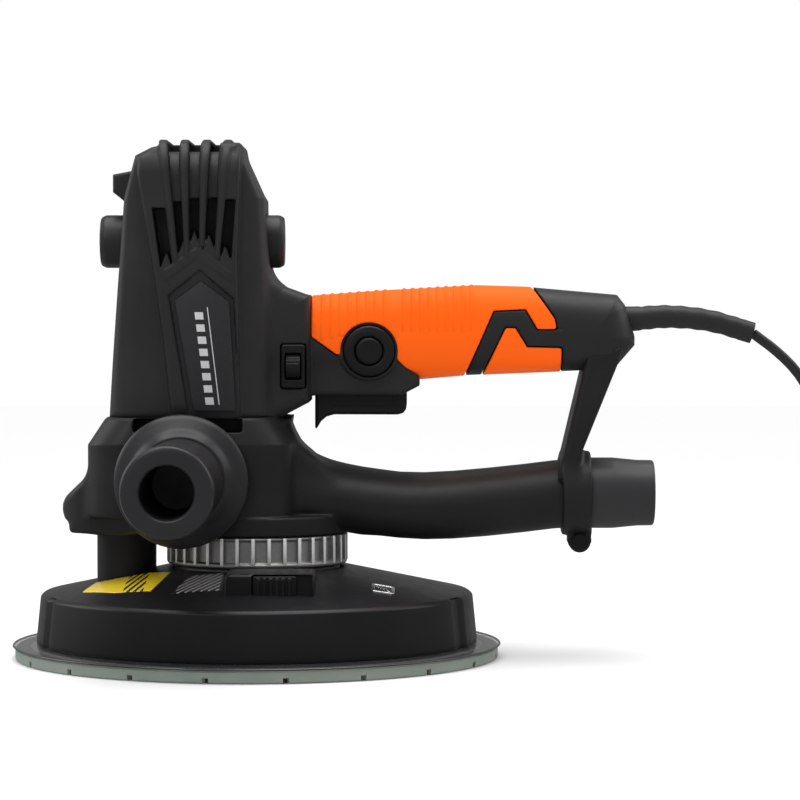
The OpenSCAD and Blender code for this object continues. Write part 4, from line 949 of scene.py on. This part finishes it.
def strutBody(p):
    x, y, z = p
    width = np.abs(y)
    collarX, collarRadius, collarHalf = strut["collar"]
    ductX, ductZ, ductRadius = strut["duct"]
    footX, footZ, footRadius = strut["foot"]
    around = np.hypot(y, z - ductZ)
    along = np.abs(x - ductX) - 20
    shape = meet(outline(x, z, strut["arm"]), width - strut["armHalf"], 3.5)
    shape = join(shape, meet(around - collarRadius, np.abs(x - collarX) - collarHalf, 1.6), 3)
    block = np.maximum(np.abs(x - footX) - footRadius, np.abs(z - 61) - 4.5)
    end = stroke(x, z, (footX, footZ), (footX, footZ + 0.2), footRadius)
    shape = join(shape, meet(join(end, block, 1.5), width - strut["footHalf"], 1), 2)
    shape = cut(shape, meet(around - ductRadius, along, 0.3), 0.6)
    split = meet(width - strut["split"], meet(z - 66, along, 0.3), 0.3)
    return cut(shape, split, 0.4)


makeHalves("shell", shellBody, (-74, 117), (186, 45, 255), 0.85)
makeHalves("grip", gripBody, (26, 134), (150, 22, 184), 0.8)
for name, node, field, low, high, step in (
        ("lowerHousing", "lower_housing", lowerBody, (-101, -46, 58), (46, 46, 119), 1.15),
        ("dustDuct", "duct_tube", tubeBody, (41, -24, 55), (160, 24, 100), 1.1),
        ("handleStrut", "handle_strut", strutBody, (145, -22, 50), (179, 22, 153), 0.8)):
    settle(skin(name, field, low, high, step), "housing", node)
print("carved bodies made")


coneTop = (45, 44.5)  # radius and height where the cover's cone meets the gear case
coneFall = 0.214
coverGrooves = {"angles": (-22.5, 203), "half": 1.9, "deep": 1.3, "from": 103.5, "radius": 106}


def coneLayer(p, shape, thick):
    # Layer that stands up by thick from the cover's cone, and reaches on down into the cover
    sunk = 0.8
    height = coneTop[1] - (np.hypot(p[0], p[1]) - coneTop[0]) * coneFall
    return meet(shape, np.abs(p[2] - height + sunk) - sunk - thick, 0.25)


labels = {
    "warningSticker": ("warning_label", "yellow", [
        (-82, -40), (-65, -56), (-47, -63), (-40, -30), (-52, -20), (-78, -17)]),
    "markSticker": ("info_label", "stripes", [(-38, -72), (-13, -72), (-13, -44.5), (-30, -44)]),
}


def makeLabels():
    for name, (node, key, corners) in labels.items():
        def sticker(p):
            return coneLayer(p, outline(p[0], p[1], corners) + 0.2, 0.22)

        xs, ys = zip(*corners)
        low, high = (min(xs) - 1, min(ys) - 1, 32), (max(xs) + 1, max(ys) + 1, 48)
        settle(skin(name, sticker, low, high, 0.6), key, node)

    def emblem(p):
        border = np.abs(softBox(p[0] - 62, p[1] + 50, 6, 8, 2.2) + 1.3) - 0.8
        bar = stroke(p[0], p[1], (59.5, -47), (64.5, -53), 1.0)
        return coneLayer(p, join(border, bar, 0.4), 0.5)

    settle(skin("coverBadge", emblem, (54, -60, 36), (70, -40, 46), 0.3), "chrome", "badge")


# Profiles hold (radius, distance along the axis)
turned = {
    "brushCap": [(0, 0), (12.9, 0), (12.9, 9.2), (11.6, 11.6), (3.4, 11.6), (3.4, 10.4), (0, 10.4)],
    "sideGuard": [(0, 0), (30, 0), (32, 1.6), (32, 3.6), (30.4, 5.2), (25, 8.5), (21.4, 13)],
    "sideEnd": [(21, 88), (21.4, 91.5), (20.6, 94.4), (18.4, 95), (13, 95), (12.2, 93.6), (12.2, 30),
                (0, 30)],
    "hosePort": [(13.5, 158), (17.3, 158), (17.3, 174), (16.1, 186.2), (16, 193.4), (15.2, 194.2),
                 (13.5, 194.2)],
    "cover": [(106.5, 7.8), (107.6, 7.8), (107.7, 9.4), (105.6, 30.4), (103.9, 31.9), coneTop,
              (42.6, 44.3), (42.6, 39.9), (20.5, 39.9), (20.5, 37.3), (45, 37.3), (101.5, 29.4),
              (102.6, 28.5), (104.8, 9)],
    "lockBezel": [(6.9, -16), (6.9, -21.1), (7.5, -21.9), (8.9, -22.1), (11.6, -21.6), (12.3, -20.8),
                  (12.3, -14), (6.9, -14)],
    "lockButton": [(0, -22.4), (5.4, -22.7), (6.3, -22.2), (6.6, -21.2), (6.6, -13.8), (8.2, -13.8),
                   (8.2, -12.3), (0, -12.3)],
    "skirt": [(100, 6.05), (119, 6.05), (119.4, 6.5), (119, 7.0), (106, 7.75), (100, 7.75)],
    "case": [(20, 37.4), (20, 60.9), (41.7, 60.9), (42.6, 60.2), (42.6, 59.4), (42, 58.8), (42, 48.6),
             (43.8, 48.2), (44.1, 47.3), (43.8, 46.2), (42, 46), (40.6, 45.2), (40.4, 39.95), (24, 39.9),
             (24, 37.4)],
}
capSeats = {"left": -64.4, "right": 2, "height": 203}
sidePlace = (-34, -45, 88)


def turnPart(name, profile, ease, origin, axis, sides=96):
    return lathe(name, softened(turned[profile], ease), origin, axis, sides)


def makeTurned():
    left, right = [turnPart(side + "Cap", "brushCap", 0.9, (capSeats[side], 0, capSeats["height"]), "x", 72)
                   for side in ("left", "right")]
    mirror(left, 0, capSeats["left"])
    settle(merge("brushCaps", [left, right]), "cap", "brush_caps")

    waist = [(16 + 4.2 * (2 * t - 1) ** 2, 16 + 68 * t) for t in np.linspace(0, 1, 14)]
    profile = softened(turned["sideGuard"], 1.4)[:-1] + waist + softened(turned["sideEnd"], 1.2)[1:]
    side = mirror(lathe("sideHandle", profile, sidePlace, "y", 96), 1, sidePlace[1])
    settle(outward(side), "side", "side_handle")
    settle(turnPart("hosePort", "hosePort", 0.6, (0, 0, 80), "x"), "port", "hose_port")

    cover = turnPart("coverShell", "cover", 0.8, (0, 0, 0), "z", 224)
    for vert in cover.data.vertices:  # two shallow grooves down the wall
        x, y, _ = vert.co / mm
        for angle in coverGrooves["angles"]:
            away = abs((math.degrees(math.atan2(y, x)) - angle + 180) % 360 - 180)
            if math.hypot(x, y) > coverGrooves["from"] and away < coverGrooves["half"]:
                vert.co.xy *= 1 - coverGrooves["deep"] / coverGrooves["radius"]
    settle(merge("headCover", [cover, makeRegulatorBox()]), "cover", "head_cover")

    lockOrigin = (lockPlace[0], 0, lockPlace[1])
    settle(turnPart("lockBezel", "lockBezel", 0.5, lockOrigin, "y", 80), "control", "lock_bezel")
    button = turnPart("lockButton", "lockButton", 0.5, lockOrigin, "y", 72)
    settle(button, "control", "lock_button", on="lock_button")
    settle(turnPart("skirtSheet", "skirt", 0.3, (0, 0, 0), "z", 224), "skirt", "skirt_flange")


regulator = {
    "box": ((-11.6, -80, 33.5), (30, -43.5, 46.5)), "window": ((0.9, -90, 34.7), (29.3, -76.6, 46.1)),
    "caseRadius": 44.6,
}


def makeRegulatorBox():
    # Box on the cover with a window in front for the slider
    def field(p):
        shape = cut(brick(p, *regulator["box"], 2.2), brick(p, *regulator["window"], 0.5), 0.4)
        return cut(shape, rod(p, 2, (0, 0), regulator["caseRadius"], 30, 60, 0.4), 0.5)

    return skin("regulatorBox", field, (-13, -82, 32), (32, -41, 48), 0.8)


def ringTree():
    # Copies of one part at even steps round the Z axis, made real and given one material
    tree = bpy.data.node_groups.new("ringOfParts", "GeometryNodeTree")
    face = tree.interface
    face.new_socket("Geometry", in_out="OUTPUT", socket_type="NodeSocketGeometry")
    for label, kind in (("Geometry", "Geometry"), ("Part", "Object"), ("Count", "Int"),
                        ("Radius", "Float"), ("Material", "Material")):
        face.new_socket(label, in_out="INPUT", socket_type="NodeSocket" + kind)
    made = {}
    for label, kind in (("inputs", "NodeGroupInput"), ("outputs", "NodeGroupOutput"),
                        ("circle", "GeometryNodeMeshCircle"), ("part", "GeometryNodeObjectInfo"),
                        ("copies", "GeometryNodeInstanceOnPoints"), ("spot", "GeometryNodeInputPosition"),
                        ("aim", "FunctionNodeAlignEulerToVector"), ("real", "GeometryNodeRealizeInstances"),
                        ("paint", "GeometryNodeSetMaterial")):
        made[label] = tree.nodes.new(kind)
    made["aim"].axis = "X"
    made["part"].inputs["As Instance"].default_value = True
    for start, out, end, into in (
            ("inputs", "Count", "circle", "Vertices"), ("inputs", "Radius", "circle", "Radius"),
            ("inputs", "Part", "part", "Object"), ("circle", "Mesh", "copies", "Points"),
            ("part", "Geometry", "copies", "Instance"), ("spot", "Position", "aim", "Vector"),
            ("aim", "Rotation", "copies", "Rotation"), ("copies", "Instances", "real", "Geometry"),
            ("real", "Geometry", "paint", "Geometry"), ("inputs", "Material", "paint", "Material"),
            ("paint", "Geometry", "outputs", "Geometry")):
        tree.links.new(made[start].outputs[out], made[end].inputs[into])
    return tree


def ringOf(name, part, count, radius, key):
    holder = bpy.data.objects.new(name, bpy.data.meshes.new(name))
    scene.collection.objects.link(holder)
    ring = holder.modifiers.new("ring", "NODES")
    ring.node_group = ringTree()
    values = {"Part": part, "Count": count, "Radius": radius * mm, "Material": finishes[key].material}
    for item in ring.node_group.interface.items_tree:
        if item.in_out == "INPUT" and item.name in values:
            ring[item.identifier] = values[item.name]
    applied(holder)
    bpy.data.objects.remove(part)
    return holder


def prism(name, corners, low, high, axis, ease=0.5):
    # Outline of (u, v) corners between two planes of the axis, with all its edges bevelled
    order = {"x": (0, 1, 2), "y": (1, 0, 2), "z": (2, 0, 1)}[axis]
    points = []
    for plane in (low, high):
        for u, v in corners:
            point = [0.0, 0.0, 0.0]
            point[order[0]], point[order[1]], point[order[2]] = plane, u, v
            points.append(point)
    count = len(corners)
    faces = quads(count, [(0, 1)]) + [list(range(count)), list(range(count, 2 * count))]
    piece = outward(makeMesh(name, points, faces))
    if ease:
        bevel = piece.modifiers.new("edges", "BEVEL")
        bevel.width = ease * mm
        bevel.segments = 3
        bevel.limit_method = "ANGLE"
        bevel.angle_limit = math.radians(32)
        outward(applied(piece), 22)
    return piece


finSizes = {
    "count": 36, "radius": 43, "half": 0.85, "low": 47.2, "high": 60.4,
    "inward": 1.2, "outward": 1.35,  # reach on either side of the radius
}


def makeGearCase():
    drum = turnPart("caseDrum", "case", 0.4, (0, 0, 0), "z", 144)
    near, far, half = -finSizes["inward"], finSizes["outward"], finSizes["half"]
    corners = [(near, -half), (far, -half), (far, half), (near, half)]
    fin = prism("fin", corners, finSizes["low"], finSizes["high"], "z", 0.25)
    fins = ringOf("caseFins", fin, finSizes["count"], finSizes["radius"], "case")
    settle(merge("gearCase", [drum, fins]), "case", "gear_case")


ringSizes = {
    "outer": 118, "inner": 111, "low": 0.05, "high": 5.95,
    "notches": 20, "notchWide": 3, "notchHigh": 2.5, "first": 9, "between": 9,
}


def makeLightRing():
    # Ring in steps round the circle; the steps inside a notch start higher
    s = ringSizes
    pitch = 2 * math.pi / s["notches"]
    half = s["notchWide"] / 2 / s["outer"]
    angles = []
    for k in range(s["notches"]):
        middle = math.radians(s["first"]) + k * pitch
        angles += [(middle - half, 0), (middle - half * 0.98, 1), (middle, 1),
                   (middle + half * 0.98, 1), (middle + half, 0)]
        angles += [(middle + half + (pitch - 2 * half) * t / s["between"], 0)
                   for t in range(1, s["between"])]
    outer, inner, high = s["outer"], s["inner"], s["high"]
    points = []
    for angle, raised in angles:
        low = s["notchHigh"] if raised else s["low"]
        section = [(inner, low), (outer - 0.7, low), (outer, low + 0.7), (outer, high - 0.8),
                   (outer - 0.8, high), (inner, high)]
        points += [(r * math.cos(angle), r * math.sin(angle), z) for r, z in section]
    count = len(angles)
    faces = quads(len(section), [(i, (i + 1) % count) for i in range(count)])
    settle(outward(makeMesh("lightRing", points, faces)), "ring", "light_ring")


controls = {
    "lever": [(28.6, 136), (28.6, 111.9), (29.5, 111.9), (31.4, 115.2), (34.2, 117.6), (38, 118.7),
              (69, 118.6), (71.6, 119.4), (73.0, 121.2), (73.4, 124), (73.4, 136)],
    "leverHalf": 10.4, "springSeat": (62, 4.8),  # X and radius of the lever's pocket
    "bezel": ((12.7, -27.4, 131.8), (24.3, -25.9, 153)),
    "bezelBody": ((13.7, -27, 132.8), (23.3, -17, 152)),
    "bezelHole": ((14.6, -40, 136), (22.4, -18, 148.8)),
    "keyRadius": 6.0, "keyPitch": 1.7,
    "slider": ((1.5, -79.3, 35.1), (21.7, -77.4, 45.6)),
    "sliderRidges": ((2.4, -80.6, 36), (20.8, -79, 44.8)), "ridgePitch": 2.9,
    "relief": [(172.6, 0, 165.3), (184.6, 0, 165.3), (201.6, 0, 166.3), (221.6, 0, 164.3),
               (242.6, 0, 158.3)],
    "reliefRadius": (6.3, 5.2), "reliefWaves": 60,
}


def leverField(p):
    x, y, z = p
    seatX, seatRadius = controls["springSeat"]
    shape = meet(outline(x, z, controls["lever"]), np.abs(y) - controls["leverHalf"], 2.2)
    shape = cut(shape, rod(p, 2, (seatX, 0), seatRadius, 127.4, 150, 0.3), 0.4)
    groove = meet(np.abs(z - 122) - 0.9, np.abs(x - 53) - 17, 1)
    return cut(shape, meet(np.abs(np.abs(y) - 10.8) - 0.7, groove, 0.5), 0.5)


def bezelField(p):
    shape = join(brick(p, *controls["bezel"], 1.2), brick(p, *controls["bezelBody"], 0.6))
    return cut(shape, brick(p, *controls["bezelHole"], 0.4), 0.5)


def rockerField(p):
    x, y, z = p
    keyX, keyZ = rockerPlace
    drum = rod(p, 0, (-24, keyZ), controls["keyRadius"], keyX - 3.45, keyX + 3.45, 0.5)
    wave = np.cos((z - keyZ) * 2 * math.pi / controls["keyPitch"])
    dish = 0.25 * wave * (z > 143) * (y < -24)
    return drum + np.maximum(dish, -0.05) * (np.abs(x - keyX) < 2.8)


def sliderField(p):
    ridges = np.cos((p[0] - 2.6) * 2 * math.pi / controls["ridgePitch"]) > 0
    ridged = brick(p, *controls["sliderRidges"], 0.5) + 0.8 * ridges
    return join(brick(p, *controls["slider"], 0.7), ridged, 0.3)


def makeControls():
    lever = skin("triggerLever", leverField, (27, -12, 110), (75, 12, 138), 0.7)
    settle(lever, "control", "trigger", on="trigger")
    bezel = skin("rockerBezel", bezelField, (12, -28, 131), (25, -16, 154), 0.45)
    settle(bezel, "control", "rocker_bezel")
    key = skin("rockerKey", rockerField, (14.5, -31, 136), (22.5, -17.5, 149), 0.35)
    settle(key, "control", "rocker", on="rocker")
    slider = skin("suctionSlider", sliderField, (0.5, -82, 34), (23, -76.5, 47), 0.35)
    settle(slider, "control", "suction_slider", on="suction_slider", slot="slider_plastic")

    plate = prism("namePlate", body["plaque"], -41.0, -39.3, "y", 0.45)
    for vert in plate.data.vertices:  # leans in with the body's side
        vert.co.y += body["layerDraw"] * body["draw"] * (vert.co.z - body["low"] * mm)
    settle(plate, "plate", "nameplate")

    path = through(controls["relief"], 12)
    thick, thin = controls["reliefRadius"]
    radii = []
    for t in np.linspace(0, 1, len(path)):
        ring = 0.5 + 0.5 * math.cos(t * controls["reliefWaves"])
        radii.append(thick - (thick - thin) * t - 0.35 * ring * (0.3 < t < 0.93))
    settle(tube("strainRelief", path, radii, 32), "cord", "strain_relief")


makeTurned()
makeLabels()
makeGearCase()
makeLightRing()
makeControls()
dress(nodes["collar_screw"], "blackScrew")
print("turned and small pieces made")


studio = {
    "fill": 0.32, "floor": (0.9, 0.9, 0.9), "floorHalf": 4000,
    "sky": 3.5, "skyWidth": 60,  # even light from straight above, and its spread in degrees
    # place, target, size, watts
    "lamps": [((-500, -900, 900), (40, 0, 120), 500, 3.2),
              ((900, 250, 700), (60, 0, 120), 700, 4), ((-900, 250, 500), (0, 0, 120), 600, 3)],
}


def makeStudio():
    world = bpy.data.worlds.new("studio")
    scene.world = world
    world.use_nodes = True
    tree = world.node_tree
    seen = tree.nodes["Background"]
    seen.inputs["Color"].default_value = (1, 1, 1, 1)
    # What lights the object is dimmer than the white backdrop
    fill = tree.nodes.new("ShaderNodeBackground")
    fill.inputs["Color"].default_value = (1, 1, 1, 1)
    fill.inputs["Strength"].default_value = studio["fill"]
    rays = tree.nodes.new("ShaderNodeLightPath")
    either = tree.nodes.new("ShaderNodeMixShader")
    tree.links.new(rays.outputs["Is Camera Ray"], either.inputs[0])
    tree.links.new(fill.outputs[0], either.inputs[1])
    tree.links.new(seen.outputs[0], either.inputs[2])
    tree.links.new(either.outputs[0], tree.nodes["World Output"].inputs["Surface"])
    half = studio["floorHalf"]
    corners = [(-half, -half, 0), (half, -half, 0), (half, half, 0), (-half, half, 0)]
    floor = makeMesh("floor", corners, [[0, 1, 2, 3]])
    paper = Finish("floorPaper", studio["floor"], 0.35)
    floor.data.materials.append(paper.material)
    floor.visible_glossy = False
    above = bpy.data.lights.new("sky", "SUN")
    above.energy = studio["sky"]
    above.angle = math.radians(studio["skyWidth"])
    sky = bpy.data.objects.new("sky", above)
    sky.location = (0, 0, 2)
    scene.collection.objects.link(sky)
    for number, (place, target, size, watts) in enumerate(studio["lamps"]):
        data = bpy.data.lights.new("lamp" + str(number), "AREA")
        data.size = size * mm
        data.energy = watts
        lamp = bpy.data.objects.new(data.name, data)
        lamp.location = Vector(place) * mm
        lamp.rotation_euler = (Vector(target) - Vector(place)).to_track_quat("-Z", "Y").to_euler()
        scene.collection.objects.link(lamp)
    scene.view_settings.view_transform = "Standard"


makeStudio()
print("studio made")
